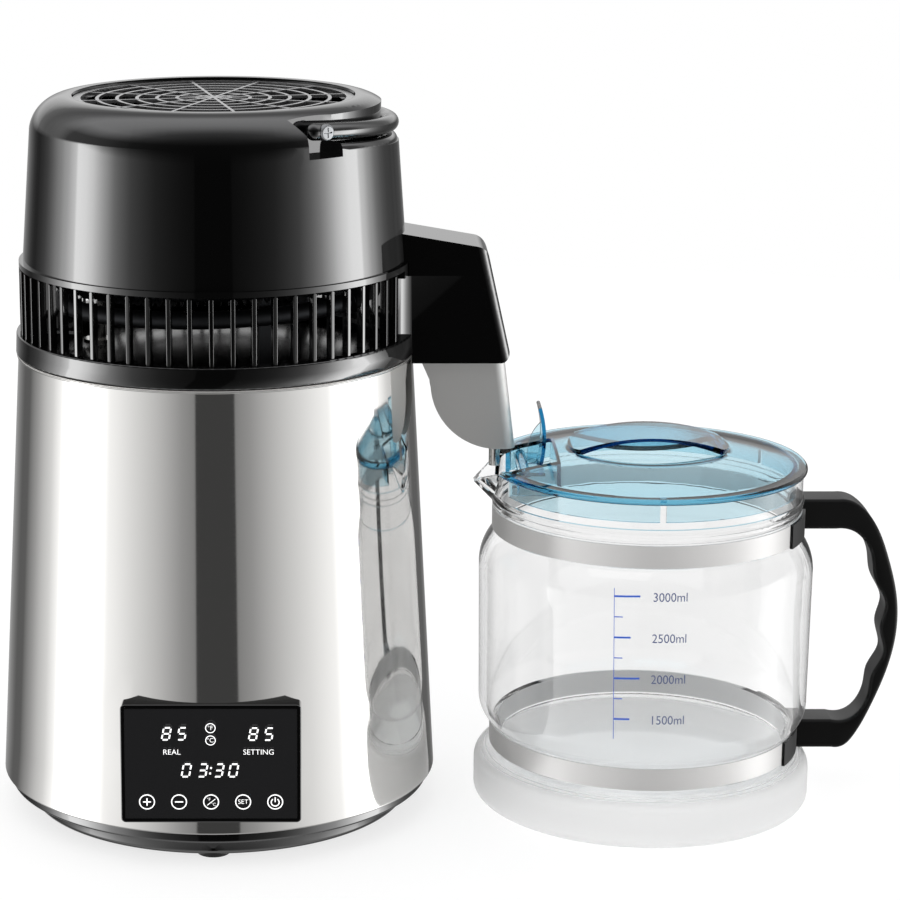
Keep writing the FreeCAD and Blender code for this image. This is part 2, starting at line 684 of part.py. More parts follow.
def folded(shape):
    """Dip a shape about the bail's pivot line, the way the folded bail lies."""
    azimuth = math.radians(BAIL_AZ)
    shape.rotate(V(0, 0, BAIL_Z), V(math.cos(azimuth), math.sin(azimuth), 0), -BAIL_DIP)
    return shape


def bail_sector(r_in, z0, z1, edge, spread):
    """An annular stretch round the half of the shoulder that the bail folds onto."""
    r_out = cover_r(GROOVE_Z) + 0.3
    k = edge * (1 - math.sqrt(0.5))
    return folded(turned([(r_in, z0), (r_out - edge, z0), ("arc", (r_out - k, z0 - k), (r_out, z0 - edge)),
                          (COVER_BOT_R + 10, z0 - edge), (COVER_BOT_R + 10, z1), (r_in, z1)],
                         180 + 2 * spread, BAIL_AZ - spread))


def pivot_block(r_in, z0, lift, half_width):
    """The two pockets at the bail's ends; each opens outwards above the pivot on its free side."""
    blocks = []
    for side, azimuth in ((1, BAIL_AZ), (-1, BAIL_AZ + 180)):
        free, near = -side * half_width, side * half_width
        path = [(near, z0), (free, z0), (free, BAIL_Z - 1.5), (free * 1.9, COVER_TOP_Z),
                (free * 1.9, COVER_TOP_Z + lift), (near, COVER_TOP_Z + lift)]
        wedge = slab(path, -COVER_BOT_R - 10, -r_in)
        wedge.rotate(V(0, 0, 0), UP, azimuth + 90)
        blocks.append(wedge)
    return blocks


def cover_bosses():
    return around(cyl(4.2, BRACKET_Z + BRACKET_T, GRILLE_Z0, BRACKET_R), 4, 45)


def tab_bosses():
    return around(cyl(4.0, COVER_Z0, COVER_Z0 + 16, COVER_BOT_R - WALL - 3.6), 4, 45)


def head_cover():
    outer = turned(cover_profile(0))
    inner = turned(cover_profile(WALL))
    seat = ring(COVER_TOP_R + 2, GRILLE_R - 1.5, GRILLE_Z0 - 2, GRILLE_Z0)
    shell = outer.cut(inner).fuse(seat.common(outer))
    lining = [bail_sector(GROOVE_R - WALL, GROOVE_Z - WALL, COVER_TOP_Z + 8, GROOVE_EDGE_R, 8)]
    lining += pivot_block(GROOVE_R - SLIP - WALL, POCKET_Z - WALL, 5, POCKET_W / 2 + WALL)
    shell = shell.fuse([piece.common(outer) for piece in lining])
    pillars = [on_radius(cyl(4.6, GROOVE_R - WALL - 6.5, GROOVE_R - 1), 0, BAIL_Z, az)
               for az in (BAIL_AZ, BAIL_AZ + 180)]
    shell = shell.fuse(cover_bosses() + pillars)
    shell = shell.fuse([b.common(outer) for b in tab_bosses()])
    over = COVER_TOP_Z + 19.8
    arm = [arm_block(0, ARM_SPLIT_Z, over).cut(arm_block(ARM_WALL, ARM_SPLIT_Z - 1, over))]
    arm += [wing.common(arm_side(0, 60)) for wing in arm_flare(ARM_SPLIT_Z, ARM_TOP_Z0)]
    within = [cyl(RIB_R + SEAT, ARM_SPLIT_Z - 1, COVER_Z0), turned(cover_profile(WALL * 0.5))]
    shell = shell.fuse([piece.cut(within[0]).cut(within[1]) for piece in arm])
    cuts = [cyl(COVER_TOP_R, GRILLE_Z0, COVER_TOP_Z + 5), cyl(GRILLE_R - 1.5, GRILLE_Z0 - 5, COVER_TOP_Z)]
    cuts.append(bail_sector(GROOVE_R, GROOVE_Z, COVER_TOP_Z + 8, GROOVE_EDGE_R, 5.5))
    cuts += pivot_block(GROOVE_R - SLIP, POCKET_Z, 5, POCKET_W / 2)
    cuts += [on_radius(cyl(PIVOT_R - 0.4, GROOVE_R - WALL - 10, GROOVE_R + 1), 0, BAIL_Z, az)
             for az in (BAIL_AZ, BAIL_AZ + 180)]
    cuts += around(cyl(1.6, BRACKET_Z, BRACKET_Z + 16, BRACKET_R), 4, 45)
    cuts += around(cyl(1.6, COVER_Z0 - 1, COVER_Z0 + 13, COVER_BOT_R - WALL - 3.6), 4, 45)
    cuts.append(on_radius(cyl(SOCKET_R - 2 + FIT, -20, 20), cover_r(HEAD_SOCKET_Z), HEAD_SOCKET_Z, 90))
    cuts.append(box(85, COVER_BOT_R + 6, -ARM_W / 2 + 4, ARM_W / 2 - 4, COVER_Z0 - 1, COVER_Z0 + 6))
    return shell.cut(Part.Compound(cuts)).removeSplitter()


def vent_ribs():
    back, half, k = RIB_R - RIB_DEPTH, RIB_W / 2, RIB_EDGE_R * (1 - math.sqrt(0.5))
    low, top, side = TRIM_Z1 - 1, RIB_TOP_Z - SEAT, RIB_R - RIB_EDGE_R
    rib = box(back, RIB_R - 1.5, -half, half, low, RIB_TOP_Z + 0.5)
    root0, root1 = V(back, -half, low), V(back, half, low)
    nose0 = [V(side, -half, low), V(RIB_R - k, k - half, low), V(RIB_R, RIB_EDGE_R - half, low)]
    nose1 = [V(RIB_R, half - RIB_EDGE_R, low), V(RIB_R - k, half - k, low), V(side, half, low)]
    edges = [Part.makeLine(root0, nose0[0]), Part.Arc(*nose0).toShape(),
             Part.makeLine(nose0[2], nose1[0]), Part.Arc(*nose1).toShape(),
             Part.makeLine(nose1[2], root1), Part.makeLine(root1, root0)]
    nose = Part.Face(Part.Wire(edges)).extrude(V(0, 0, top - low))
    arch = slab([(-half, low), (half, low), (half, top - half), ("arc", (0, top), (-half, top - half))],
                -RIB_R - 1, -back)
    arch.rotate(V(0, 0, 0), UP, 90)
    rib = rib.fuse(nose.common(arch))
    blocked = math.degrees(math.asin((ARM_W / 2 + ARM_FLARE) / RIB_R)) + RIB_PITCH / 2
    ribs = []
    for i in range(int(round(360 / RIB_PITCH))):
        azimuth = -90 + RIB_START + i * RIB_PITCH
        if abs((azimuth + 180) % 360 - 180) > blocked:
            copy = rib.copy()
            copy.rotate(V(0, 0, 0), UP, azimuth)
            ribs.append(copy)
    return ribs


def vent_housing():
    trim = turned([
        (TRIM_R - 3.5, TRIM_Z0), (TRIM_R - 0.8, TRIM_Z0),
        ("arc", (TRIM_R - 0.2, TRIM_Z0 + 0.3), (TRIM_R, TRIM_Z0 + 0.9)),
        (TRIM_R - 0.4, TRIM_Z1 - 0.9),
        ("arc", (TRIM_R - 0.7, TRIM_Z1 - 0.2), (TRIM_R - 1.4, TRIM_Z1)),
        (RIB_R - RIB_DEPTH - 0.6, TRIM_Z1), (RIB_R - RIB_DEPTH - 0.6, FLANGE_Z + WALL),
        (PAN_R - 2.0, FLANGE_Z + WALL), (PAN_R - 2.0, FLANGE_Z), (TRIM_R - 3.5, FLANGE_Z)])
    top = ring(RIB_R, COVER_BOT_R - WALL - 1.4, RIB_TOP_Z, COVER_Z0)
    tabs = around(cyl(4.6, RIB_TOP_Z, COVER_Z0, COVER_BOT_R - WALL - 3.6), 4, 45)
    low = ARM_BOT_Z - 40
    arm = arm_block(0, low, ARM_SPLIT_Z).cut(arm_block(ARM_WALL, low, ARM_SPLIT_Z + 1))
    flare = arm_flare(TRIM_Z0, ARM_SPLIT_Z)
    arm = arm.fuse(flare)
    arm = arm.cut(cyl(TRIM_R - 3.5, low, FLANGE_Z)).cut(cyl(shell_r(ARM_BOT_Z) + SLIP, low, TRIM_Z0))
    arm = arm.cut(cyl(RIB_R - RIB_DEPTH, FLANGE_Z, ARM_SPLIT_Z + 1))
    side = box(88, RIB_R + 1, -60, 60, ARM_SPLIT_Z, COVER_Z0).common(
        ring(RIB_R, RIB_R - RIB_DEPTH, ARM_SPLIT_Z - 0.01, COVER_Z0))
    wide = ARM_W / 2 + ARM_FLARE
    side = side.common(box(0, 2 * ARM_END_X1, -wide, wide, 0, COVER_TOP_Z))
    side = side.cut(box(80, 120, -ARM_W / 2 + 4, ARM_W / 2 - 4, ARM_SPLIT_Z - 1, COVER_Z0 + 1))
    housing = trim.fuse([top, arm, side] + tabs + vent_ribs())
    cuts = around(cyl(1.9, RIB_TOP_Z - 1, COVER_Z0 + 1, COVER_BOT_R - WALL - 3.6), 4, 45)
    cuts += around(cyl(1.6, FLANGE_Z - 1, FLANGE_Z + WALL + 1, PAN_SCREW_R), 4, 45)
    cuts.append(box(TUBE_X - TUBE_R - 2, TUBE_X + TUBE_R + SEAT, -TUBE_R - 2, TUBE_R + 2,
                    ARM_BOT_Z - 1, ARM_BOT_Z + ARM_WALL + 1))
    cuts.append(box(85, RIB_R + 3, -ARM_W / 2 + 6, ARM_W / 2 - 6, FLANGE_Z + WALL + 1, ARM_SPLIT_Z - 4))
    return housing.cut(Part.Compound(cuts)).removeSplitter()


def fan_grille():
    rim = ring(GRILLE_R + GRILLE_RIM, GRILLE_R, GRILLE_Z0, GRILLE_Z1)
    radii = [GRILLE_R * (0.126 + 0.15 * i) for i in range(GRILLE_RINGS)]
    rings = [ring(r + 0.9, r - 0.9, GRILLE_Z0 + 0.3, GRILLE_Z1 - 0.3) for r in radii]
    spoke = box(0, GRILLE_R + 1, -0.8, 0.8, GRILLE_Z0 + 0.5, GRILLE_Z1 - 0.2)
    return rim.fuse(rings + around(spoke, GRILLE_SPOKES, 12)).removeSplitter()


# ---- head: fan -------------------------------------------------------------------------
def motor_bracket():
    z0, z1 = BRACKET_Z, BRACKET_Z + BRACKET_T
    hoop = ring(BRACKET_R + 4.5, BRACKET_R - 4.5, z0, z1)
    plate = cyl(MOTOR_R + 3, z0, z1)
    arms = around(box(MOTOR_R, BRACKET_R, -4, 4, z0, z1), 4, 45)
    spider = hoop.fuse([plate] + arms).removeSplitter()
    cuts = [cyl(SHAFT_R + 3.5, z0 - 1, z1 + 1)]
    cuts += around(cyl(1.8, z0 - 1, z1 + 1, BRACKET_R), 4, 45)
    cuts += around(cyl(1.6, z0 - 1, z1 + 1, MOTOR_R - 5), 2, 0)
    return spider.cut(Part.Compound(cuts))


def bracket_screws():
    s = screw(3.2, 2.2, 1.5, 12)
    s.rotate(V(0, 0, 0), V(1, 0, 0), 180)
    s.translate(V(BRACKET_R, 0, BRACKET_Z))
    return Part.Compound(around(s, 4, 45))


def fan_motor():
    can = cyl(MOTOR_R, BRACKET_Z - MOTOR_H, BRACKET_Z)
    can = round_edges(can, 2.0, lambda e: e.BoundBox.ZMax < BRACKET_Z - MOTOR_H + 0.01)
    nose = cyl(SHAFT_R + 3, BRACKET_Z - 1, BRACKET_Z + BRACKET_T + 1.5)
    motor = can.fuse(nose).cut(cyl(SHAFT_R + FIT, BRACKET_Z - MOTOR_H + 6, BRACKET_Z + 10))
    return motor


def motor_screws():
    s = screw(2.8, 1.8, 1.5, BRACKET_T)
    s.translate(V(MOTOR_R - 5, 0, BRACKET_Z + BRACKET_T))
    return Part.Compound(around(s, 2, 0))


def fan_shaft():
    return cyl(SHAFT_R, BRACKET_Z - MOTOR_H + 6.2, FAN_Z + FAN_HUB_H - 3)


def fan_rotor():
    hub = cyl(FAN_HUB_R, FAN_Z, FAN_Z + FAN_HUB_H)
    hub = round_edges(hub, 2.0, lambda e: e.BoundBox.ZMin > FAN_Z + FAN_HUB_H - 0.01)
    hub = hub.cut(cyl(FAN_HUB_R - 2.5, FAN_Z - 1, FAN_Z + FAN_HUB_H - 3))
    boss = cyl(SHAFT_R + 3, FAN_Z + 1, FAN_Z + FAN_HUB_H - 1)
    blade = Part.makeBox(FAN_R - FAN_HUB_R + 1.5, 30.0, 1.6, V(FAN_HUB_R - 1.5, -15.0, -0.8))
    blade = round_edges(blade, 9.0, lambda e: e.BoundBox.ZLength > 1.5 and e.BoundBox.XMin > FAN_R - 1)
    blade.rotate(V(0, 0, 0), V(1, 0, 0), 24)
    blade.translate(V(0, 0, FAN_Z + FAN_HUB_H / 2))
    core = cyl(FAN_HUB_R - 1, FAN_Z - 5, FAN_Z + FAN_HUB_H + 5)
    blades = [b.cut(core) for b in around(blade, FAN_BLADES)]
    rotor = hub.fuse([boss] + blades)
    return rotor.cut(cyl(SHAFT_R, FAN_Z - 1, FAN_Z + FAN_HUB_H - 3))


# ---- head: condenser -------------------------------------------------------------------
def condenser_coil():
    height = COIL_PITCH * COIL_TURNS
    path = Part.makeHelix(COIL_PITCH, height, COIL_R)
    section = Part.Wire(Part.makeCircle(COIL_TUBE_R, V(COIL_R, 0, 0), V(0, 1, 0)))
    coil = Part.Wire(path).makePipeShell([section], True, True)
    coil.translate(V(0, 0, COIL_Z0))
    return coil


def coil_brackets():
    bar = box(COIL_R - COIL_TUBE_R - 3.2, COIL_R - COIL_TUBE_R - 0.2, -4, 4,
              FLANGE_Z + WALL + 1.2, BRACKET_Z)
    foot = box(COIL_R - COIL_TUBE_R - 3.2, PAN_R + 4, -4, 4, FLANGE_Z + WALL, FLANGE_Z + WALL + 1.2)
    return Part.Compound(around(bar.fuse(foot).removeSplitter(), 3, -68))


def steam_pipe_x():
    return -(COIL_R - COIL_TUBE_R - 3.2 - COIL_TUBE_R - 6)


def dome_z(r):
    """Height of the pan's raised middle at a radius."""
    return PAN_Z - PAN_DIP + 9.0 * (1 - (r / PAN_R) ** 2)


def condenser_pan():
    low = PAN_Z - PAN_DIP
    t = STEEL_T
    half = PAN_R / 2
    pan = turned([
        (0, dome_z(0)), ("arc", (half, dome_z(half)), (PAN_R - t, low)), (PAN_R, low),
        (PAN_R, PAN_Z), (TRIM_R - 3.8, PAN_Z), (TRIM_R - 3.8, FLANGE_Z), (PAN_R - t, FLANGE_Z),
        (PAN_R - t, low + t), ("arc", (half, dome_z(half) + t), (0, dome_z(0) + t))])
    cuts = [cyl(COIL_TUBE_R - 1, PAN_Z - 40, PAN_Z + 60, steam_pipe_x(), 0)]
    cuts += around(cyl(1.6, PAN_Z - 1, FLANGE_Z + 1, PAN_SCREW_R), 4, 45)
    return pan.cut(Part.Compound(cuts))


def pan_screws():
    s = screw(2.6, 1.8, 1.5, WALL + STEEL_T)
    s.translate(V(PAN_SCREW_R, 0, FLANGE_Z + WALL))
    return Part.Compound(around(s, 4, 45))


def steam_pipe():
    x = steam_pipe_x()
    z0 = dome_z(abs(x) - COIL_TUBE_R - 3) + STEEL_T + SEAT
    z1 = COIL_Z0 + COIL_PITCH * COIL_TURNS
    rise = cyl(COIL_TUBE_R, z0, z1, x, 0)
    knee = Part.makeSphere(COIL_TUBE_R, V(x, 0, z1))
    reach = Part.makeCylinder(COIL_TUBE_R, COIL_R - COIL_TUBE_R + x - 0.1, V(x, 0, z1), V(-1, 0, 0))
    collar = cyl(COIL_TUBE_R + 3, z0, z0 + 2.0, x, 0)
    return rise.fuse([knee, reach, collar])


def head_seal():
    return ring(TRIM_R - 4.2, PAN_R + 1.6, POT_RIM_Z, PAN_Z)


def head_screws():
    s = screw(3.2, 2.2, 1.5, 14)
    s.rotate(V(0, 0, 0), V(1, 0, 0), 180)
    s.translate(V(COVER_BOT_R - WALL - 3.6, 0, RIB_TOP_Z))
    return Part.Compound(around(s, 4, 45))


# ---- head: outlet tube and its guard ---------------------------------------------------
def outlet_tube():
    start = V(COIL_R + COIL_TUBE_R + SEAT, 0, COIL_Z0 - 0.5)
    corner = V(TUBE_X, 0, COIL_Z0 - 11.0)
    tip = V(TUBE_X, 0, TUBE_TIP_Z)
    along = (corner - start).normalize()
    down = V(0, 0, -1)
    turn = math.acos(along.dot(down))
    back = TUBE_BEND_R * math.tan(turn / 2)
    a, b = corner - along * back, corner + down * back
    inward = (down - along).normalize()
    middle = corner + inward * (TUBE_BEND_R / math.cos(turn / 2) - TUBE_BEND_R)
    path = Part.Wire([Part.LineSegment(start, a).toShape(), Part.Arc(a, middle, b).toShape(),
                      Part.LineSegment(b, tip).toShape()])

    def run(radius):
        section = Part.Wire(Part.makeCircle(radius, start, along))
        return path.makePipeShell([section], True, False)
    return run(TUBE_R).cut(run(TUBE_R - 0.7))


def nozzle_guard():
    top_end = ARM_END_X1 - 3.4
    low_end = top_end + (ARM_BOT_Z - GUARD_BOT_Z) * 0.125
    r = GUARD_CURVE_R
    k = r * (1 - math.sqrt(0.5))
    lean = GUARD_X0 + 5.0

    def form(inset, half, opened):
        left = -30.0 if opened else 0.0
        path = [(GUARD_X0 + left, ARM_BOT_Z + (5 if opened else 0)), (lean + left, GUARD_BOT_Z + r),
                ("arc", (lean + k + left, GUARD_BOT_Z + k), (lean + r + left, GUARD_BOT_Z)),
                (low_end - inset, GUARD_BOT_Z), (top_end - inset, ARM_BOT_Z)]
        if opened:
            path = [(GUARD_X0 - 30, ARM_BOT_Z + 5), (GUARD_X0 - 30, GUARD_BOT_Z - 5),
                    (low_end - inset + 0.7, GUARD_BOT_Z - 5), (top_end - inset - 0.7, ARM_BOT_Z + 5)]
        return round_edges(slab(path, -half, half), 6.0 - inset,
                           lambda e: e.BoundBox.XMin > top_end - inset - 2
                           and e.BoundBox.YLength < 0.1 and e.BoundBox.ZLength > 20)
    return form(0, GUARD_W / 2, False).cut(form(GUARD_T, GUARD_W / 2 - GUARD_T, True))


# ---- carrying bail ---------------------------------------------------------------------
def carry_bail():
    """A bent rod whose rounded ends run a little past its two pivots."""
    extra = math.degrees(BAIL_END / BAIL_R)
    section = Part.Face(Part.Wire(Part.makeCircle(BAIL_TUBE_R, V(BAIL_R, 0, BAIL_Z), V(0, 1, 0))))
    bow = section.revolve(V(0, 0, 0), UP, 180 + 2 * extra)
    bow.rotate(V(0, 0, 0), UP, BAIL_AZ - extra)
    ends = []
    for azimuth in (BAIL_AZ - extra, BAIL_AZ + 180 + extra):
        a = math.radians(azimuth)
        ends.append(Part.makeSphere(BAIL_TUBE_R, V(BAIL_R * math.cos(a), BAIL_R * math.sin(a), BAIL_Z)))
    cuts = []
    for azimuth in (BAIL_AZ, BAIL_AZ + 180):
        cuts.append(on_radius(cyl(PIVOT_R + FIT, BAIL_R - 10, BAIL_R + 10), 0, BAIL_Z, azimuth))
        head_seat = cyl(PIVOT_HEAD_R + SEAT, BAIL_R + PIVOT_SEAT, BAIL_R + 10)
        cuts.append(on_radius(head_seat, 0, BAIL_Z, azimuth))
    return folded(bow.fuse(ends).cut(Part.Compound(cuts)))


def bail_screws():
    pieces = []
    for azimuth in (BAIL_AZ, BAIL_AZ + 180):
        s = screw(PIVOT_HEAD_R, 2.4, PIVOT_R, PIVOT_SEAT + BAIL_TUBE_R + SEAT)
        s.translate(V(0, 0, BAIL_R + PIVOT_SEAT + SEAT))
        tip = cyl(PIVOT_R - 0.45, GROOVE_R - WALL - 5, BAIL_R)
        pieces.append(on_radius(s.fuse(tip), 0, BAIL_Z, azimuth))
    return Part.Compound(pieces)


# ---- jug -------------------------------------------------------------------------------
def jug_profile(t):
    """Half section of the glass, brought in by a wall; bands lie in the two waists."""
    low0, low1 = BAND_LOW_Z - 0.7, BAND_LOW_Z + BAND_W + 0.7
    up0, up1 = BAND_UP_Z - 0.7, BAND_UP_Z + BAND_W + 0.7
    foot, body, waist, neck = FOOT_GLASS_R - t, BODY_R - t, WAIST_R - t, NECK_R - t
    base = 0.0 if t == 0 else GLASS_T * 2.0
    return [(0, base), (foot - 6, base), ("arc", (foot - 1.8, base + 1.8), (foot, base + 6)),
            (foot, FOOT_GLASS_H), ("arc", (foot - 1.4, FOOT_GLASS_H + 4.2), (foot - 4.8, low0 - 3.6)),
            (waist, low0), (waist, low1),
            ("arc", (body - 3.4, low1 + 4.6), (body - 0.8, low1 + 13)),
            (body, up0 - 18), ("arc", (body - 2.2, up0 - 8.5), (waist, up0)),
            (waist, up1), ("arc", (neck + 0.2, up1 + 1.8), (neck, up1 + 3.6)),
            ("arc", (neck + 0.9, up1 + 5.6), (neck, up1 + 7.6)),
            (neck, NECK_TOP_Z), (0, NECK_TOP_Z)]


def spout_form(t):
    """The poured lip: a small section low on the neck drawn out to a wide one at the rim."""
    def section(z, half, nose, tip):
        back = -(NECK_R - 8)
        pts = [V(back, -half, z), V(-(NECK_R - 2.5), -half, z), V(-tip, -nose, z), V(-tip, nose, z),
               V(-(NECK_R - 2.5), half, z), V(back, half, z), V(back, -half, z)]
        return Part.makePolygon(pts)
    z0 = BAND_UP_Z + BAND_W + 4 + t * 1.5
    nose = SPOUT_NOSE - t * 0.4
    low = section(z0, SPOUT_HALF_W * 0.35 - t * 0.8, nose * 0.5, NECK_R + 0.6 - t)
    high = section(NECK_TOP_Z, SPOUT_HALF_W - t * 0.8, nose, SPOUT_TIP_R - t * 0.9)
    return Part.makeLoft([low, high], True)


def glass_jug():
    outer = turned(jug_profile(0)).fuse(spout_form(0))
    inner = turned(jug_profile(GLASS_T)).fuse(spout_form(GLASS_T))
    jug = outer.cut(inner)
    tip_cut = slab([(-NECK_R + 2.5, NECK_TOP_Z + 1), (-SPOUT_TIP_R - 2, NECK_TOP_Z + 1),
                    (-SPOUT_TIP_R - 2, NECK_TOP_Z - SPOUT_DROP)], -40, 40)
    return at_jug(jug.cut(tip_cut))


def band(z0):
    hoop = ring(WAIST_R + SEAT / 2 + BAND_T, WAIST_R + SEAT / 2, z0, z0 + BAND_W)
    hoop = hoop.cut(box(WAIST_R - 5, WAIST_R + 10, -BAND_T, BAND_T, z0 - 1, z0 + BAND_W + 1))
    ears = [box(WAIST_R + SEAT, WAIST_R + EAR_REACH, min(s * 0.1, s * BAND_T), max(s * 0.1, s * BAND_T),
                z0, z0 + BAND_W) for s in (-1, 1)]
    curls = hoop.fuse(ears)
    hole = Part.makeCylinder(1.8, 10, V(WAIST_R + EAR_REACH - 4, -5, z0 + BAND_W / 2), V(0, 1, 0))
    return at_jug(curls.cut(hole))


def upper_band():
    return band(BAND_UP_Z)


def lower_band():
    return band(BAND_LOW_Z)


def handle_wings(z0):
    """The moulded saddle that hugs a band on both sides of the handle's arm."""
    r = WAIST_R + SEAT / 2 + BAND_T + FIT
    return turned([(r, z0 - 0.6), (r + CLAMP_T, z0 - 0.6), (r + CLAMP_T, z0 + BAND_W + 0.6),
                   (r, z0 + BAND_W + 0.6)], 2 * CLAMP_AZ, -CLAMP_AZ)


def jug_handle():
    root = WAIST_R + SEAT / 2 + BAND_T + FIT
    up, low = BAND_UP_Z + BAND_W / 2 + HANDLE_RISE, BAND_LOW_Z + BAND_W / 2
    top, bottom = HANDLE_TOP_T / 2, HANDLE_LOW_T / 2
    path = [(root - 6, up + top), (root + 19, up + top),
            ("curve", (109.4, 165.0), (115.2, 160.6), (128.8, 134.0), (134.4, 110.0), (134.3, 90.0),
             (130.4, 72.0), (122.8, 51.8), (114.0, 34.6), (109.4, 29.4), (root + 20, low - bottom)),
            (root - 6, low - bottom), (root - 6, low + bottom), (root + 19, low + bottom),
            ("curve", (114.4, 46.8), (120.8, 59.5), (122.2, 69.0), (128.0, 81.5), (125.6, 95.5),
             (128.0, 108.0), (121.6, 122.6), (119.6, 134.6), (113.8, 145.6), (root + 18, up - top)),
            (root - 6, up - top)]
    grip = slab(path, -HANDLE_W / 2, HANDLE_W / 2)
    grip = round_edges(grip, HANDLE_EDGE, lambda e: e.BoundBox.YLength < 0.01 and e.Length > 17
                       and e.BoundBox.XMax > root + 1)
    grip = grip.cut(cyl(root, 0, 250))
    grip = grip.fuse([handle_wings(BAND_UP_Z), handle_wings(BAND_LOW_Z)])
    grip = grip.cut(turned(jug_profile(-SEAT)))
    cuts = []
    for z0 in (BAND_UP_Z, BAND_LOW_Z):
        mid = z0 + BAND_W / 2
        x = WAIST_R + EAR_REACH - 4
        cuts.append(box(root - 5, WAIST_R + EAR_REACH + 0.6, -BAND_T - 0.15, BAND_T + 0.15,
                        z0 - 0.3, z0 + BAND_W + 0.3))
        cuts.append(Part.makeCylinder(1.75, 30, V(x, -6, mid), V(0, 1, 0)))
        cuts.append(Part.makeCylinder(3.4, 10, V(x, HANDLE_W / 2 - 2.4, mid), V(0, 1, 0)))
    return at_jug(grip.cut(Part.Compound(cuts)))


def jug_screws():
    pieces = []
    for z0 in (BAND_UP_Z, BAND_LOW_Z):
        s = screw(3.2, 2.0, 1.6, HANDLE_W / 2 + 2)
        s.rotate(V(0, 0, 0), V(1, 0, 0), -90)
        s.translate(V(WAIST_R + EAR_REACH - 4, HANDLE_W / 2 - 2.3, z0 + BAND_W / 2))
        pieces.append(s)
    return at_jug(Part.Compound(pieces))


# ---- lid and pouring flap --------------------------------------------------------------
def lid_z(r):
    """Height of the deck's top at a radius."""
    return LID_Z + LID_RIM_T + LID_DOME * (1 - (r / (LID_R - 4)) ** 2)


def grip_dish(drop):
    """Everything above the shallow round dish in the deck, which may be let down by a wall."""
    edge = lid_z(GRIP_R) - drop
    return turned([(0, edge - GRIP_DEPTH), ("arc", (GRIP_R / 2, edge - GRIP_DEPTH * 0.75), (GRIP_R, edge)),
                   (GRIP_R, edge + 40), (0, edge + 40)])


def grip_bridge(reach, inset):
    """The arched finger bridge across the dish, brought in by a wall and open below."""
    edge, top = lid_z(GRIP_R) - inset, lid_z(0) + GRIP_H - inset
    x, y = GRIP_R + reach, GRIP_W / 2 - inset
    return slab([(-x, edge - 20), (x, edge - 20), (x, edge), ("arc", (0, top), (-x, edge))], -y, y)


def jug_lid():
    z0, z1 = LID_Z, LID_Z + LID_RIM_T
    rim_in = LID_R - 5
    half = rim_in / 2
    deck = turned([
        (LID_SKIRT_R, z0), (LID_R - 0.8, z0), ("arc", (LID_R, z0 + 0.8), (LID_R - 0.4, z1 - 0.6)),
        (LID_R - 1.0, z1), (rim_in, z1), ("arc", (half, lid_z(half)), (0, lid_z(0))),
        (0, lid_z(0) - LID_T), ("arc", (half, lid_z(half) - LID_T), (LID_SKIRT_R - LID_T, z1 - LID_T)),
        (LID_SKIRT_R - LID_T, z0 - LID_SKIRT_H), (LID_SKIRT_R, z0 - LID_SKIRT_H)])
    dish = grip_dish(LID_T).cut(grip_dish(0))
    bridge = grip_bridge(LID_T, 0).common(grip_dish(LID_T))
    deck = deck.cut(grip_dish(LID_T)).fuse([dish, bridge]).cut(grip_bridge(-1.5 * LID_T, LID_T))
    half_notch = NOTCH_W / 2
    mid_deck = LID_T / 2
    under_deck = turned([
        (0, z0 - 20), (LID_SKIRT_R, z0 - 20), (LID_SKIRT_R, z1 - mid_deck),
        ("arc", (half, lid_z(half) - mid_deck), (0, lid_z(0) - mid_deck))])
    walls = []
    for s in (-1, 1):
        y0, y1 = sorted((s * half_notch, s * (half_notch + LID_T)))
        walls.append(box(-LID_SKIRT_R + 3, NOTCH_X1, y0, y1, z0 - NOTCH_WALL_H, lid_z(0)))
    walls.append(box(NOTCH_X1, NOTCH_X1 + LID_T, -half_notch - LID_T, half_notch + LID_T,
                     z0 - NOTCH_WALL_H, lid_z(0)))
    lid = deck.fuse([w.common(under_deck) for w in walls])
    notch = box(-LID_R - 5, NOTCH_X1, -half_notch, half_notch, z0 - 30, lid_z(0) + 20)
    bore = Part.makeCylinder(HINGE_PIN_R + 0.06, NOTCH_W + 20, V(HINGE_X, -NOTCH_W / 2 - 10, LID_Z),
                             V(0, 1, 0))
    bore = bore.cut(box(HINGE_X - 5, HINGE_X + 5, -half_notch, half_notch, LID_Z - 5, LID_Z + 5))
    slots = []
    for azimuth in (270, 30, 150):
        slot = box(LID_SKIRT_R - 4, LID_SKIRT_R + 1, -1.6, 1.6, z0 - 20, z0 - 0.2)
        slot.rotate(V(0, 0, 0), UP, azimuth)
        slots.append(slot)
    return at_jug(lid.cut(Part.Compound([notch, bore] + slots)).removeSplitter())


def pour_flap():
    half = NOTCH_W / 2 - SLIP
    z = LID_Z
    x = FLAP_TAB_X
    plate = box(FLAP_X0, x + FLAP_TAB_T, -half, half, z - FLAP_T / 2, z + FLAP_T / 2)
    knuckle = Part.makeCylinder(HINGE_PIN_R + 1.2, 2 * half, V(HINGE_X, -half, z), V(0, 1, 0))
    pins = [Part.makeCylinder(HINGE_PIN_R, SLIP + LID_T, V(HINGE_X, s * half, z), V(0, s, 0))
            for s in (-1, 1)]
    bow, low, high = FLAP_TAB_BOW, z + FLAP_TAB_H * 0.45, z + FLAP_TAB_H - FLAP_TAB_T / 2
    left, right = x - FLAP_TAB_T / 2, x + FLAP_TAB_T / 2
    tab = slab([(left, z), ("arc", (left + bow, low), (left, high)),
                ("arc", (x, high + FLAP_TAB_T / 2), (right, high)),
                ("arc", (right + bow, low), (right, z))], -FLAP_TAB_W / 2, FLAP_TAB_W / 2)
    web = slab([(x - 6.5, z), (x - 5.5, z + 13), ("arc", (x - 3.0, z + 19), (x + 1.0, z + 24)),
                (x + bow, low), (x, z)], -1.0, 1.0)
    return at_jug(plate.fuse([knuckle, tab, web] + pins).removeSplitter())


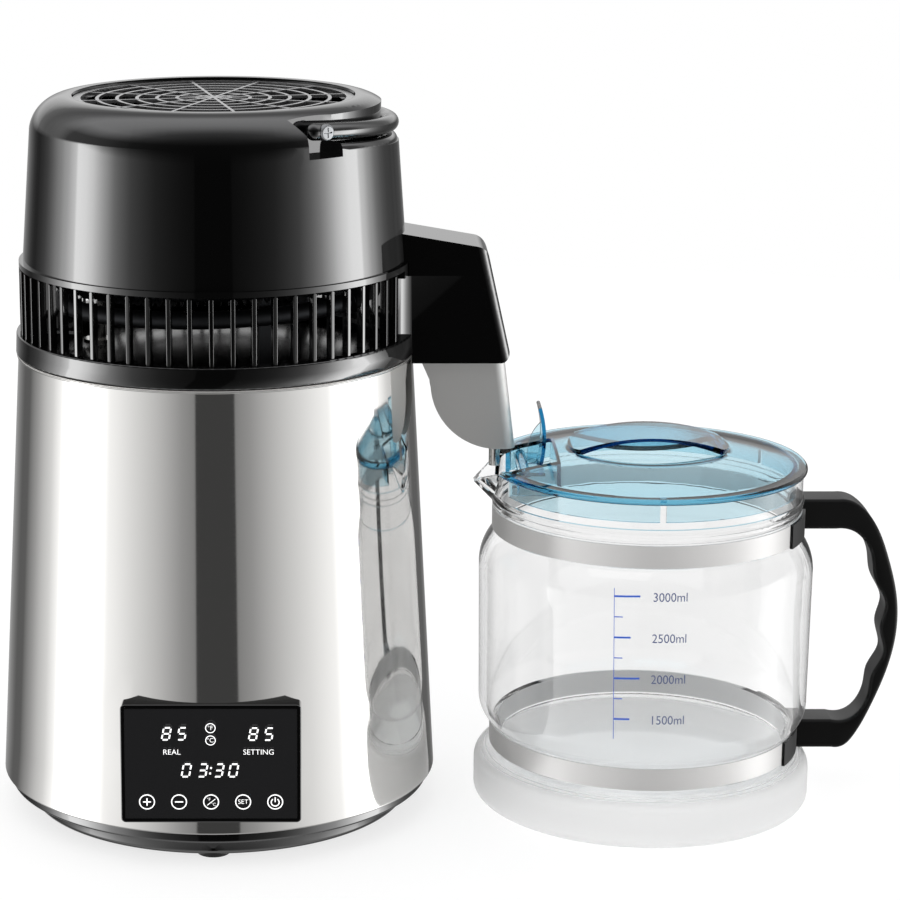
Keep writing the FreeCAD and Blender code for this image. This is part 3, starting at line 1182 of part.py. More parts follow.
NODES = [
    rubber_feet, base_tray, tray_screws, outer_shell, boiler_pot, heater_plate, heating_element,
    thermal_cutouts, heater_studs, heater_nuts, spacers, heat_shield, panel_bezel, panel_window,
    display_module, control_board, touch_springs, power_inlet, fan_socket, head_cover,
    vent_housing, fan_grille, motor_bracket, bracket_screws, fan_motor, motor_screws, fan_shaft,
    fan_rotor, condenser_coil, coil_brackets, condenser_pan, pan_screws, steam_pipe, head_seal,
    head_screws, fan_inlet, outlet_tube, nozzle_guard, carry_bail, bail_screws, glass_jug,
    upper_band, lower_band, jug_handle, jug_screws, jug_lid, pour_flap]

os.makedirs("parts", exist_ok=True)
for node in NODES:
    solid = node()
    solid.exportStep(os.path.join("parts", node.__name__ + ".step"))
    print(node.__name__, len(solid.Solids), round(solid.Volume / 1000.0, 2), solid.isValid())
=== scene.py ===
import math

import bpy
import numpy as np
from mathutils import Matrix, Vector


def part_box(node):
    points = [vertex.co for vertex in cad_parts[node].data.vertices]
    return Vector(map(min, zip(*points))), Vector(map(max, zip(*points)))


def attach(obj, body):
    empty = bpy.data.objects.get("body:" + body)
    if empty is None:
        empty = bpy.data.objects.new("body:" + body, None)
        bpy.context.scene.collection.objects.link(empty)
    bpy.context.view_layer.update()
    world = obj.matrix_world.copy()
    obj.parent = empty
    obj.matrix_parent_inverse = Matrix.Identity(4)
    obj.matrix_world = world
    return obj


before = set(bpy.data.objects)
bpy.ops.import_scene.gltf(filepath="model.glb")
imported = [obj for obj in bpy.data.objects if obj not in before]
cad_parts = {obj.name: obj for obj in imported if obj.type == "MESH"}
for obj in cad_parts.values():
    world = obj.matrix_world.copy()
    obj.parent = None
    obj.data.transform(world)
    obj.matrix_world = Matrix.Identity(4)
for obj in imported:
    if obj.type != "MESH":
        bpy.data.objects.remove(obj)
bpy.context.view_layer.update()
mm = 0.001

# ---- Camera ------------------------------------------------------------------------------
# A long lens at about 1.5 m that looks slightly down on the machine; the machine stands left of
# the lens axis, so the frame is shifted instead of the camera being turned.
LOOK_DOWN = 13.87
camera = bpy.data.objects.new("studio_camera", bpy.data.cameras.new("studio_camera"))
camera.data.sensor_width = 36.0
camera.data.lens = 118.19
camera.data.shift_x = 0.1333
camera.data.clip_end = 30.0
camera.location = (0.05993, -1.5205, 0.56665)
camera.rotation_euler = (math.radians(90.0 - LOOK_DOWN), 0.0, 0.0)
bpy.context.scene.collection.objects.link(camera)
bpy.context.scene.camera = camera
bpy.context.scene.view_settings.view_transform = "Standard"


# ---- Studio light ------------------------------------------------------------------------
# A white tent lights the object evenly.  Polished faces mirror what stands in it: a tall soft box
# at each side, a dark gap in front where the camera looks in, a dark band above the boxes, a pale
# backdrop behind, a grey roof and the bench.
def add(tree, kind, *sources, **settings):
    """A shader node with its settings; each source is (socket name, what feeds it or its value)."""
    new = tree.nodes.new("ShaderNode" + kind)
    for name, value in settings.items():
        setattr(new, name, value)
    for socket, source in sources:
        if isinstance(source, bpy.types.NodeSocket):
            tree.links.new(source, new.inputs[socket])
        else:
            new.inputs[socket].default_value = source
    return new


def stops(ramp, *pairs):
    """Sets a colour ramp's stops from (position, colour) pairs; a number stands for a grey."""
    ramp = ramp.color_ramp
    while len(ramp.elements) < len(pairs):
        ramp.elements.new(0.5)
    for element, (place, colour) in zip(ramp.elements, pairs):
        element.position = place
        element.color = colour if isinstance(colour, tuple) else (colour, colour, colour, 1.0)


tent = bpy.data.worlds.new("white_tent")
bpy.context.scene.world = tent
tent.use_nodes = True
tree = tent.node_tree
tree.nodes.clear()
heading = add(tree, "SeparateXYZ", (0, add(tree, "TexCoord").outputs["Generated"]))
away = add(tree, "Math", (0, heading.outputs["Y"]), (1, -1.0), operation="MULTIPLY")
turn = add(tree, "Math", (0, heading.outputs["X"]), (1, away.outputs[0]), operation="ARCTAN2")
spread = add(tree, "Math", (0, turn.outputs[0]), operation="ABSOLUTE")
lean = add(tree, "Math", (0, spread.outputs[0]), (1, 0.05), (2, math.radians(0.7)),
           operation="MULTIPLY_ADD")
middle = add(tree, "Math", (0, turn.outputs[0]), (1, lean.outputs[0]), operation="SUBTRACT")
side = add(tree, "Math", (0, middle.outputs[0]), operation="ABSOLUTE")
half_turn = add(tree, "Math", (0, side.outputs[0]), (1, math.pi), operation="DIVIDE")
walls = add(tree, "ValToRGB", (0, half_turn.outputs[0]))
BOX = 4.0
WALL_TONES = ((0, 0.068), (10.7, 0.068), (11.3, 0.33), (19, 0.435), (34, 0.775), (47, 1.05), (64, 1.45),
              (72, 2.2), (80, 3.0), (86, 3.4), (94, 3.4), (95.5, 2.5), (103, 1.5), (110.5, 1.02),
              (119, 0.75), (127, 0.47), (133, 0.33), (140, 0.15), (150, 0.14), (160, 0.25), (175, 0.4))
stops(walls, *[(degrees / 180.0, tone / BOX) for degrees, tone in WALL_TONES])
room = add(tree, "MixRGB", ("Fac", 1.0), ("Color1", walls.outputs[0]),
           ("Color2", (BOX, BOX, BOX, 1.0)), blend_type="MULTIPLY")
ZONES = {"rear": ("Y", 0.2, 0.6), "raised": ("Z", 0.0, 0.12), "band": ("Z", 0.05, 0.13),
         "roof": ("Z", 0.42, 0.7), "bench": ("Z", -0.42, -0.62)}
zone = {name: add(tree, "MapRange", ("Value", heading.outputs[axis]), ("From Min", start),
                  ("From Max", full)) for name, (axis, start, full) in ZONES.items()}
zone["backdrop"] = add(tree, "Math", (0, zone["rear"].outputs[0]), (1, zone["raised"].outputs[0]),
                       operation="MULTIPLY")
for name, tone in (("band", (0.16, 0.16, 0.16, 1.0)), ("backdrop", (0.9, 0.9, 0.9, 1.0)),
                   ("roof", (0.75, 0.75, 0.76, 1.0)), ("bench", (0.5, 0.5, 0.5, 1.0))):
    room = add(tree, "MixRGB", ("Fac", zone[name].outputs[0]), ("Color1", room.outputs[0]),
               ("Color2", tone))
seen = add(tree, "LightPath")
mirrored = add(tree, "Background", ("Color", room.outputs[0]), ("Strength", 1.0))
plain = add(tree, "Background", ("Color", (1.0, 1.0, 1.0, 1.0)), ("Strength", 1.0))
through = add(tree, "Math", (0, 1.0), (1, seen.outputs["Is Transmission Ray"]), operation="SUBTRACT")
in_mirror = add(tree, "Math", (0, seen.outputs["Is Glossy Ray"]), (1, through.outputs[0]),
                operation="MULTIPLY")
mixed = add(tree, "MixShader", (0, in_mirror.outputs[0]), (1, plain.outputs[0]), (2, mirrored.outputs[0]))
add(tree, "OutputWorld", ("Surface", mixed.outputs[0]))

key = bpy.data.objects.new("key_light", bpy.data.lights.new("key_light", "AREA"))
key.data.shape = "RECTANGLE"
key.data.size = 1.6
key.data.size_y = 1.2
key.data.energy = 8.0
key.location = (-0.5, -1.2, 2.0)
key.rotation_euler = (math.radians(32.0), 0.0, math.radians(-20.0))
key.visible_glossy = False
bpy.context.scene.collection.objects.link(key)


# ---- Floor -------------------------------------------------------------------------------
# The bench is a plain white sweep that glows a little, so shadows on it stay faint; it is not
# part of the object.
def linear(code):
    """An sRGB hex colour as linear red, green, blue and alpha."""
    parts = np.array([int(code[i:i + 2], 16) for i in (1, 3, 5)]) / 255.0
    parts = np.where(parts <= 0.04045, parts / 12.92, ((parts + 0.055) / 1.055) ** 2.4)
    return (*parts.tolist(), 1.0)


def surface(name, points, close_rows=False):
    """A mesh from a grid of points, shape (rows, columns, 3): each row is a closed ring, and quads
    join it to the next; the last row may join the first."""
    rows, cols = points.shape[:2]
    index = np.arange(rows * cols).reshape(rows, cols)
    if close_rows:
        index = np.vstack([index, index[:1]])
    index = np.hstack([index, index[:, :1]])
    quads = np.stack([index[:-1, :-1], index[:-1, 1:], index[1:, 1:], index[1:, :-1]], -1)
    mesh = bpy.data.meshes.new(name)
    mesh.from_pydata(points.reshape(-1, 3).tolist(), [], quads.reshape(-1, 4).tolist())
    mesh.shade_smooth()
    piece = bpy.data.objects.new(name, mesh)
    bpy.context.scene.collection.objects.link(piece)
    return piece


def principled(name, **values):
    """A new material with its surface shader, whose plain values are set on its own sockets."""
    material = bpy.data.materials.new(name)
    material.use_nodes = True
    tree = material.node_tree
    shader = tree.nodes["Principled BSDF"]
    for socket, value in values.items():
        shader.inputs[socket.replace("_", " ")].default_value = value
    return material, tree, shader


white, tree, shader = principled("white sweep", Roughness=0.9, Emission_Color=(1.0, 1.0, 1.0, 1.0),
                                 Emission_Strength=0.74)
grain = add(tree, "TexNoise", ("Vector", add(tree, "TexCoord").outputs["Object"]), ("Scale", 3.0))
tone = add(tree, "ValToRGB", (0, grain.outputs["Fac"]))
stops(tone, (0.3, linear("#8f8f8f")), (0.7, linear("#929292")))
tree.links.new(tone.outputs[0], shader.inputs["Base Color"])
SWEEP_R, SWEEP_X, SWEEP_Z = 1.6, 0.1, -0.0002
turn_angle = np.linspace(0, 2 * np.pi, 97)[:-1]
reach = np.linspace(0.0, SWEEP_R, 9)
sweep = surface("floor", np.stack([
    SWEEP_X + reach[:, None] * np.cos(turn_angle)[None], reach[:, None] * np.sin(turn_angle)[None],
    np.zeros((reach.size, turn_angle.size)) + SWEEP_Z], -1))
sweep.data.materials.append(white)
sweep.visible_glossy = False


# ---- Steel skin and pot --------------------------------------------------------------------
# The body is a cone of stainless sheet, polished to a satin mirror.  The pot, drawn and left dull
# inside, hangs in it from one rolled rim, which is buffed and shows as a bright thin bead under
# the head.
CORNER = 32.0
WELD_REACH = 0.00002


def dress(names, material):
    """Gives CAD nodes a material; faces meet smoothly below the corner angle, in degrees."""
    for name in names:
        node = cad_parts[name]
        node.data.materials.clear()
        node.data.materials.append(material)
        node.data.polygons.foreach_set("use_smooth", np.ones(len(node.data.polygons), bool))
        weld = node.modifiers.new("weld", "WELD")
        weld.merge_threshold = WELD_REACH
        split = node.modifiers.new("corners", "EDGE_SPLIT")
        split.split_angle = math.radians(CORNER)


def steel(name, colour, rough, depth=0.02):
    """Brushed metal: fine scratches round the axis vary the roughness and the height."""
    material, tree, shader = principled(name, Base_Color=linear(colour), Metallic=1.0)
    place = add(tree, "TexCoord")
    stretched = add(tree, "Mapping", ("Vector", place.outputs["Object"]), ("Scale", (0.4, 0.4, 60.0)))
    scratch = add(tree, "TexNoise", ("Vector", stretched.outputs[0]), ("Scale", 40.0), ("Detail", 5.0))
    gloss = add(tree, "MapRange", ("Value", scratch.outputs["Fac"]), ("From Min", 0.3),
                ("From Max", 0.7), ("To Min", rough - 0.02), ("To Max", rough + 0.03))
    tree.links.new(gloss.outputs[0], shader.inputs["Roughness"])
    bump = add(tree, "Bump", ("Height", scratch.outputs["Fac"]), ("Strength", depth), ("Distance", 0.0002))
    tree.links.new(bump.outputs[0], shader.inputs["Normal"])
    return material


def bead(name, radius, height, thick):
    """A round rod bent into a ring: one angle runs round the ring, one round the rod."""
    round_ring = np.linspace(0, 2 * np.pi, 181)[:-1][:, None]
    round_rod = np.linspace(0, 2 * np.pi, 13)[:-1][None]
    out = radius + thick * np.cos(round_rod)
    return surface(name, np.stack([out * np.cos(round_ring), out * np.sin(round_ring),
                                   height + thick * np.sin(round_rod) + 0 * round_ring], -1), True)


skin_steel = steel("satin stainless 304", "#cfcecc", 0.05, depth=0.002)
dress(["outer_shell"], skin_steel)
dress(["boiler_pot"], steel("drawn stainless pot", "#dcdad7", 0.38, depth=0.01))
skin_low, skin_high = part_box("outer_shell")
LIP_R, LIP_ROD_R, LIP_SINK = 0.1034, 0.0007, 0.0002
lip = bead("rolled_lip", LIP_R, skin_high[2] - LIP_SINK, LIP_ROD_R)
lip.data.materials.append(skin_steel)
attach(lip, "base_unit")


# ---- Base tray and feet --------------------------------------------------------------------
# A two-step tray injection-moulded in black ABS closes the skin below; four soft rubber feet are
# pressed into its floor.
def plastic(name, colour, rough, depth=0.03):
    """Moulded plastic: a faint grain of the tool's surface in height and roughness."""
    material, tree, shader = principled(name, IOR=1.5)
    place = add(tree, "TexCoord")
    pores = add(tree, "TexNoise", ("Vector", place.outputs["Object"]), ("Scale", 1500.0), ("Detail", 3.0))
    cloud = add(tree, "TexNoise", ("Vector", place.outputs["Object"]), ("Scale", 14.0), ("Detail", 2.0))
    gloss = add(tree, "MapRange", ("Value", cloud.outputs["Fac"]), ("From Min", 0.3),
                ("From Max", 0.7), ("To Min", rough * 0.85), ("To Max", rough * 1.15))
    tone = add(tree, "MixRGB", ("Fac", cloud.outputs["Fac"]), ("Color1", linear(colour)),
               ("Color2", tuple(min(1.0, 1.12 * v) for v in linear(colour))))
    bump = add(tree, "Bump", ("Height", pores.outputs["Fac"]), ("Strength", depth), ("Distance", 0.0001))
    tree.links.new(tone.outputs[0], shader.inputs["Base Color"])
    tree.links.new(gloss.outputs[0], shader.inputs["Roughness"])
    tree.links.new(bump.outputs[0], shader.inputs["Normal"])
    return material


# How much of the room a polished face mirrors, from face on (0) to edge on (1).
MIRROR_SHARE = ((0.0, 0.004), (0.02, 0.009), (0.055, 0.015), (0.109, 0.037), (0.144, 0.072), (0.18, 0.12),
                (0.24, 0.175), (0.3, 0.2), (0.4, 0.22), (0.45, 0.19), (0.5, 0.13), (0.55, 0.095),
                (0.6, 0.085), (0.68, 0.12), (0.75, 0.3), (0.85, 0.5), (0.95, 0.75), (1.0, 1.0))


def polished(name, colour, rough):
    """High-gloss black: face on it stays black, and its slanting sides mirror the room."""
    material = plastic(name, colour, rough + 0.2, depth=0.0)
    tree = material.node_tree
    shader = tree.nodes["Principled BSDF"]
    slant = add(tree, "LayerWeight", ("Blend", 0.5))
    share = add(tree, "ValToRGB", (0, slant.outputs["Facing"]))
    stops(share, *MIRROR_SHARE)
    mirror = add(tree, "BsdfAnisotropic", ("Color", (1.0, 1.0, 1.0, 1.0)), ("Roughness", rough))
    mixed = add(tree, "MixShader", (0, share.outputs[0]), (1, shader.outputs[0]), (2, mirror.outputs[0]))
    shader.inputs["Specular IOR Level"].default_value = 0.0
    tree.links.new(mixed.outputs[0], tree.nodes["Material Output"].inputs["Surface"])
    return material


gloss_black = polished("gloss black ABS", "#050505", 0.05)
rubber = plastic("black rubber", "#141414", 0.75)
dress(["base_tray"], gloss_black)
dress(["rubber_feet"], rubber)

# ---- Heater stack --------------------------------------------------------------------------
# Under the pot lie an aluminium plate, a sheathed ring element and a dished heat shield, held to
# the tray by plated studs, nuts and screws.
heat_marked = steel("heat-marked mild steel", "#8f8b86", 0.45)
zinc = steel("zinc plated screws", "#9d9fa1", 0.34)
alloy = steel("drawn aluminium", "#9a9c9e", 0.45)
dress(["heating_element", "heat_shield"], heat_marked)
dress(["tray_screws", "heater_studs", "heater_nuts", "spacers", "thermal_cutouts"], zinc)
dress(["heater_plate"], alloy)


# ---- Control panel -------------------------------------------------------------------------
# A gloss black frame holds a smoked acrylic window.  Behind it are the display, the board and the
# touch springs; the lit white legends are printed on the pane: slanted seven-segment figures, their
# captions and five ringed touch keys.
def bar(u0, v0, u1, v1, width):
    """A straight flat stroke between two points: four corners half a width to each side."""
    along = np.array([u1 - u0, v1 - v0], float)
    across = np.array([-along[1], along[0]]) / np.hypot(*along) * width / 2
    ends = np.array([[u0, v0], [u1, v1], [u1, v1], [u0, v0]])
    return ends + across * np.array([[-1], [-1], [1], [1]]), [(0, 1, 2, 3)]


def loop(u, v, radius, width, start=0.0, sweep=360.0):
    """A flat round stroke: two circles a width apart, joined by quads, from a start angle on."""
    count = 48
    angle = np.radians(start + np.linspace(0.0, sweep, count))
    rings = [np.stack([u + r * np.cos(angle), v + r * np.sin(angle)], -1)
             for r in (radius - width / 2, radius + width / 2)]
    i = np.arange(count - 1)
    return np.vstack(rings), np.stack([i, i + count, i + count + 1, i + 1], -1).tolist()


def words(text, u, v, height, weight=-0.012):
    """Plain lettering of a given height, centred on a point; a weight below nought thins it."""
    curve = bpy.data.curves.new("words", "FONT")
    curve.body = text
    curve.align_x, curve.align_y = "CENTER", "CENTER"
    curve.size = height / 0.7
    curve.offset = weight * height
    curve.resolution_u = 4
    holder = bpy.data.objects.new("words", curve)
    mesh = bpy.data.meshes.new_from_object(holder)
    points = np.empty(len(mesh.vertices) * 3)
    mesh.vertices.foreach_get("co", points)
    faces = [tuple(face.vertices) for face in mesh.polygons]
    bpy.data.objects.remove(holder)
    bpy.data.curves.remove(curve)
    bpy.data.meshes.remove(mesh)
    return points.reshape(-1, 3)[:, :2] + [u, v], faces


def figures(text, u, v, height, step):
    """Slanted seven-segment figures from a lower left corner; each lit segment is a stroke, and a
    point moves right by its height times the slant."""
    slant = 0.19
    lit = {"0": "abcdef", "3": "abcdg", "5": "acdfg", "8": "abcdefg"}
    w, h, t = height * 0.58, height / 2, height * 0.13
    g = t * 0.62
    lines = {"a": (g, 2 * h, w - g, 2 * h), "b": (w, h + g, w, 2 * h - g), "c": (w, g, w, h - g),
             "d": (g, 0, w - g, 0), "e": (0, g, 0, h - g), "f": (0, h + g, 0, 2 * h - g),
             "g": (g, h, w - g, h)}
    shapes = []
    for place, figure in enumerate(text):
        for segment in lit[figure]:
            corners, faces = bar(*lines[segment], t)
            corners = corners + [u + place * step, v]
            corners[:, 0] += slant * (corners[:, 1] - v)
            shapes.append((corners, faces))
    return shapes


def printed(name, shapes, place, material, body):
    """One thin mesh from flat shapes; place turns their two coordinates into points in space."""
    flat = np.vstack([corners for corners, faces in shapes])
    faces, start = [], 0
    for corners, polygons in shapes:
        faces += [tuple(start + i for i in polygon) for polygon in polygons]
        start += len(corners)
    mesh = bpy.data.meshes.new(name)
    mesh.from_pydata(place(flat[:, 0], flat[:, 1]).tolist(), [], faces)
    mesh.materials.append(material)
    piece = bpy.data.objects.new(name, mesh)
    bpy.context.scene.collection.objects.link(piece)
    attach(piece, body)
    return piece


def ink(name, colour, glow_and_painted_light=0.0):
    """Screen ink: its grain thins it slightly; lit legends also give off a little light, and on the jug's
    unlit scale that glow is painted light.
    """
    material, tree, shader = principled(name, Roughness=0.5)
    speck = add(tree, "TexNoise", ("Vector", add(tree, "TexCoord").outputs["Object"]), ("Scale", 2500.0))
    tone = add(tree, "MixRGB", ("Fac", speck.outputs["Fac"]), ("Color1", linear(colour)),
               ("Color2", tuple(0.88 * v for v in linear(colour)[:3]) + (1.0,)))
    tree.links.new(tone.outputs[0], shader.inputs["Base Color"])
    shader.inputs["Emission Color"].default_value = linear(colour)
    shader.inputs["Emission Strength"].default_value = glow_and_painted_light
    return material


board = plastic("green circuit board", "#0f4a2a", 0.4)
smoked = plastic("smoked acrylic window", "#19191a", 0.12, depth=0.0)
spring_brass = steel("spring brass", "#b08d4a", 0.35)
dress(["panel_bezel"], gloss_black)
dress(["panel_window"], smoked)
dress(["display_module", "control_board"], board)
dress(["touch_springs"], spring_brass)
pane_low, pane_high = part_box("panel_window")
INK_GAP = 0.00006
pane_face = pane_low[1] - INK_GAP
pane_foot = pane_low[2] / mm
TEMP_H, CLOCK_H, CAPTION_H, SIGN_H, SET_H = 6.3, 6.6, 2.8, 2.3, 2.4
CAPTION_V, F_SIGN_V, C_SIGN_V = 35.4, 48.2, 41.7
legends = figures("85", -24.5, 42.1, TEMP_H, 7.8) + figures("85", 19.1, 41.9, TEMP_H, 7.8)
legends += figures("03", -14.8, 22.5, CLOCK_H, 8.2) + figures("30", 1.6, 22.5, CLOCK_H, 7.3)
legends += [bar(-0.45, 23.7, -0.25, 24.7, 0.9), bar(0.05, 26.6, 0.25, 27.6, 0.9)]
legends += [words("REAL", -19.55, CAPTION_V, CAPTION_H), words("SETTING", 24.1, CAPTION_V, CAPTION_H)]
legends += [words("\u00b0F", -0.1, F_SIGN_V, SIGN_H), words("\u00b0C", -0.1, C_SIGN_V, SIGN_H)]
legends += [loop(0.0, v, 2.4, 0.42) for v in (F_SIGN_V, C_SIGN_V)]
KEY_PITCH, KEY_V, KEY_R, LINE = 16.15, 9.0, 3.75, 0.55
plus, minus, unit, setting, power = [KEY_PITCH * place for place in (-2, -1, 0, 1, 2)]
legends += [loop(u, KEY_V, KEY_R, LINE) for u in (plus, minus, unit, setting, power)]
legends += [bar(plus - 2, KEY_V, plus + 2, KEY_V, 0.6), bar(plus, KEY_V - 2, plus, KEY_V + 2, 0.6),
            bar(minus - 2.1, KEY_V, minus + 2.1, KEY_V, 0.6),
            bar(unit - 2.0, KEY_V - 1.8, unit + 2.2, KEY_V + 1.6, 0.35),
            words("\u00b0F", unit - 1.2, KEY_V + 1.3, 1.6), words("\u00b0C", unit + 1.2, KEY_V - 1.4, 1.6),
            words("SET", setting, KEY_V, SET_H), loop(power, KEY_V - 0.2, 2.0, LINE, 125.0, 290.0),
            bar(power, KEY_V - 0.1, power, KEY_V + 2.5, LINE)]
printed("panel_legends", legends,
        lambda u, v: np.stack([u * mm, np.full(u.shape, pane_face), (pane_foot + v) * mm], -1),
        ink("lit white legend", "#f4f4f4", 0.75), "base_unit")

# ---- Inlets at the back --------------------------------------------------------------------
# The mains inlet is screwed into the skin from inside; the two small sockets take the plugs of the
# fan's lead.  All are moulded in satin black ABS.
satin_black = plastic("satin black ABS", "#101011", 0.32)
dress(["power_inlet", "fan_socket", "fan_inlet"], satin_black)

# ---- Head: cover and vent housing ----------------------------------------------------------
# The head's two halves are high-gloss black ABS: the cover above, and below it the trim ring with
# its upright ribs.  Both run out into the arm, and screws hold them together from below.
dress(["head_cover", "vent_housing"], gloss_black)
dress(["head_screws", "pan_screws"], zinc)

# ---- Fan and grille ------------------------------------------------------------------------
# A small motor on a steel spider turns a moulded rotor under a grille of welded chromed wire.
chromed = steel("chromed wire", "#b5b5b6", 0.28, depth=0.0)
dress(["fan_grille"], chromed)
dress(["motor_bracket", "fan_motor", "fan_rotor"], satin_black)
dress(["bracket_screws", "motor_screws"], zinc)

# ---- Condenser -----------------------------------------------------------------------------
# Steam rises through a pipe into a coil of drawn aluminium tube.  Thin aluminium rings are pressed
# onto two of its turns; they show behind the vent's ribs.  A steel pan with a seal closes the pot.
# The coil, rings and brackets are coloured dark, and the pan's upper side near black: painted shade
# inside the head.
plain_steel = steel("plain stainless", "#cfcdca", 0.14, depth=0.01)
dress(["steam_pipe", "fan_shaft"], plain_steel)
# Painted shade: faces of the pan that look up into the head are coloured near black, and faces that look
# down keep the steel's colour.
pan_steel_painted_shade = steel("pan stainless, painted shade on its upper side", "#cfcdca", 0.2, depth=0.01)
tree = pan_steel_painted_shade.node_tree
normal_for_painted_shade = add(tree, "SeparateXYZ", (0, add(tree, "NewGeometry").outputs["Normal"]))
painted_shade_on_top = add(tree, "MapRange", ("Value", normal_for_painted_shade.outputs["Z"]), ("From Min", -0.9), ("From Max", -0.2))
tone = add(tree, "MixRGB", ("Fac", painted_shade_on_top.outputs[0]), ("Color1", linear("#cfcdca")),
           ("Color2", linear("#1c1b1b")))
tree.links.new(tone.outputs[0], tree.nodes["Principled BSDF"].inputs["Base Color"])
dress(["condenser_pan"], pan_steel_painted_shade)
# Painted shade: the coil, its brackets and fins are coloured far darker than aluminium, for the shade
# inside the head.
shade_darkened_aluminium = steel("aluminium darkened as painted shade", "#38393b", 0.5)
dress(["condenser_coil", "coil_brackets"], shade_darkened_aluminium)
dress(["head_seal"], rubber)
coil_low, coil_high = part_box("condenser_coil")
COIL_R, PITCH, TUBE_R = 0.080, 0.014, 0.0045
FIN_INNER_R, FIN_OUTER_R, FINS_PER_TURN = 0.0047, 0.0071, 130
# Each fin is a flat ring square to the coil: a point of the helix, plus a circle in the plane of
# the outward and the upward direction there.
along = np.arange(0.9, 2.9, 1 / FINS_PER_TURN) * 2 * np.pi
spin = np.linspace(0, 2 * np.pi, 17)[:-1]
out = np.stack([np.cos(along), np.sin(along), 0 * along], -1)
up = np.array([0, 0, 1.0])
middle = out * COIL_R + up * (coil_low[2] + TUBE_R + PITCH * along / (2 * np.pi))[:, None]
edge = out[:, None] * np.cos(spin)[None, :, None] + up * np.sin(spin)[None, :, None]
rings = np.stack([middle[:, None] + r * edge for r in (FIN_INNER_R, FIN_OUTER_R)], 1)
index = np.arange(rings[..., 0].size).reshape(rings.shape[:3])
turned_on = np.roll(index, -1, 2)
quads = np.stack([index[:, 0], turned_on[:, 0], turned_on[:, 1], index[:, 1]], -1).reshape(-1, 4)
mesh = bpy.data.meshes.new("coil_fins")
mesh.from_pydata(rings.reshape(-1, 3).tolist(), [], quads.tolist())
mesh.materials.append(shade_darkened_aluminium)
fins = bpy.data.objects.new("coil_fins", mesh)
bpy.context.scene.collection.objects.link(fins)
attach(fins, "head")

# ---- Outlet tube and its guard -------------------------------------------------------------
# The condensed water leaves through a bent stainless tube.  Below the arm a guard, folded from
# bead-blasted stainless sheet, hides it down to its tip.
dress(["outlet_tube"], plain_steel)
dress(["nozzle_guard"], steel("bead-blasted stainless", "#dddcda", 0.5, depth=0.01))

# ---- Carrying bail -------------------------------------------------------------------------
# The bail is a steel rod bent round the cover and enamelled black.  Its flattened eyes turn on two
# plated cross-head screws, one at each side.
dress(["carry_bail"], polished("black enamelled rod", "#060606", 0.12))
dress(["bail_screws"], zinc)

# ---- Jug: glass, bands and handle ----------------------------------------------------------
# The jug is blown borosilicate; its thick foot is frosted, and the floor inside it gives off a faint glow,
# painted light that keeps it pale.  Two stainless bands lie in its waists, satin outside and matte inside,
# and clamp the moulded nylon handle, whose surface is finely grained.
JUG_AXIS = 0.2284
FROST_FULL, FROST_END = 0.0225, 0.0275
FLOOR_LOW, FLOOR_TOP = 0.003, 0.006
FLOOR_R, FLOOR_EDGE_R, FLOOR_PAINTED_LIGHT = 0.078, 0.083, 0.13
glass, tree, shader = principled("blown borosilicate", Base_Color=linear("#f7f7f7"), Roughness=0.0,
                                 IOR=1.45, Transmission_Weight=1.0, Emission_Color=(1.0, 1.0, 1.0, 1.0))
place = add(tree, "TexCoord")
height = add(tree, "SeparateXYZ", (0, place.outputs["Object"]))
centred = add(tree, "Mapping", ("Vector", place.outputs["Object"]), ("Location", (-JUG_AXIS, 0.0, 0.0)),
              ("Scale", (1.0, 1.0, 0.0)))
radius = add(tree, "VectorMath", (0, centred.outputs[0]), operation="LENGTH")
frosted = add(tree, "MapRange", ("Value", height.outputs["Z"]), ("From Min", FROST_FULL),
              ("From Max", FROST_END), ("To Min", 1.0), ("To Max", 0.0))
rough = add(tree, "Math", (0, frosted.outputs[0]), (1, 0.6), operation="MULTIPLY")
clear = add(tree, "MapRange", ("Value", frosted.outputs[0]), ("To Min", 1.0), ("To Max", 0.35))
milk = add(tree, "MixRGB", ("Fac", frosted.outputs[0]), ("Color1", linear("#f7f7f7")),
           ("Color2", linear("#f0f0f0")))
# Painted light: the frosted floor inside the foot gives off light of its own, fading out towards its edge.
floor_painted_light_mask = add(tree, "MapRange", ("Value", radius.outputs["Value"]), ("From Min", FLOOR_R),
             ("From Max", FLOOR_EDGE_R), ("To Min", FLOOR_PAINTED_LIGHT), ("To Max", 0.0))
floor_height_for_painted_light = add(tree, "MapRange", ("Value", height.outputs["Z"]), ("From Min", FLOOR_LOW),
               ("From Max", FLOOR_TOP))
painted_light_on_foot = add(tree, "Math", (0, frosted.outputs[0]), (1, floor_painted_light_mask.outputs[0]), operation="MULTIPLY")
glow_and_painted_light = add(tree, "Math", (0, painted_light_on_foot.outputs[0]), (1, floor_height_for_painted_light.outputs[0]), operation="MULTIPLY")
for socket, source in (("Roughness", rough), ("Transmission Weight", clear), ("Base Color", milk),
                       ("Emission Strength", glow_and_painted_light)):
    tree.links.new(source.outputs[0], shader.inputs[socket])
dress(["glass_jug"], glass)
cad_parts["glass_jug"].visible_shadow = False
BAND_INNER_R = 0.0813
band_steel = steel("rolled stainless band", "#d0cfce", 0.38, depth=0.006)
tree = band_steel.node_tree
shader = tree.nodes["Principled BSDF"]
place = add(tree, "TexCoord")
centred = add(tree, "Mapping", ("Vector", place.outputs["Object"]), ("Location", (-JUG_AXIS, 0.0, 0.0)),
              ("Scale", (1.0, 1.0, 0.0)))
radius = add(tree, "VectorMath", (0, centred.outputs[0]), operation="LENGTH")
inner = add(tree, "Math", (0, radius.outputs["Value"]), (1, BAND_INNER_R), operation="LESS_THAN")
gloss = shader.inputs["Roughness"].links[0].from_socket
sided = add(tree, "MixRGB", ("Fac", inner.outputs[0]), ("Color1", gloss),
            ("Color2", (0.75, 0.75, 0.75, 1.0)))
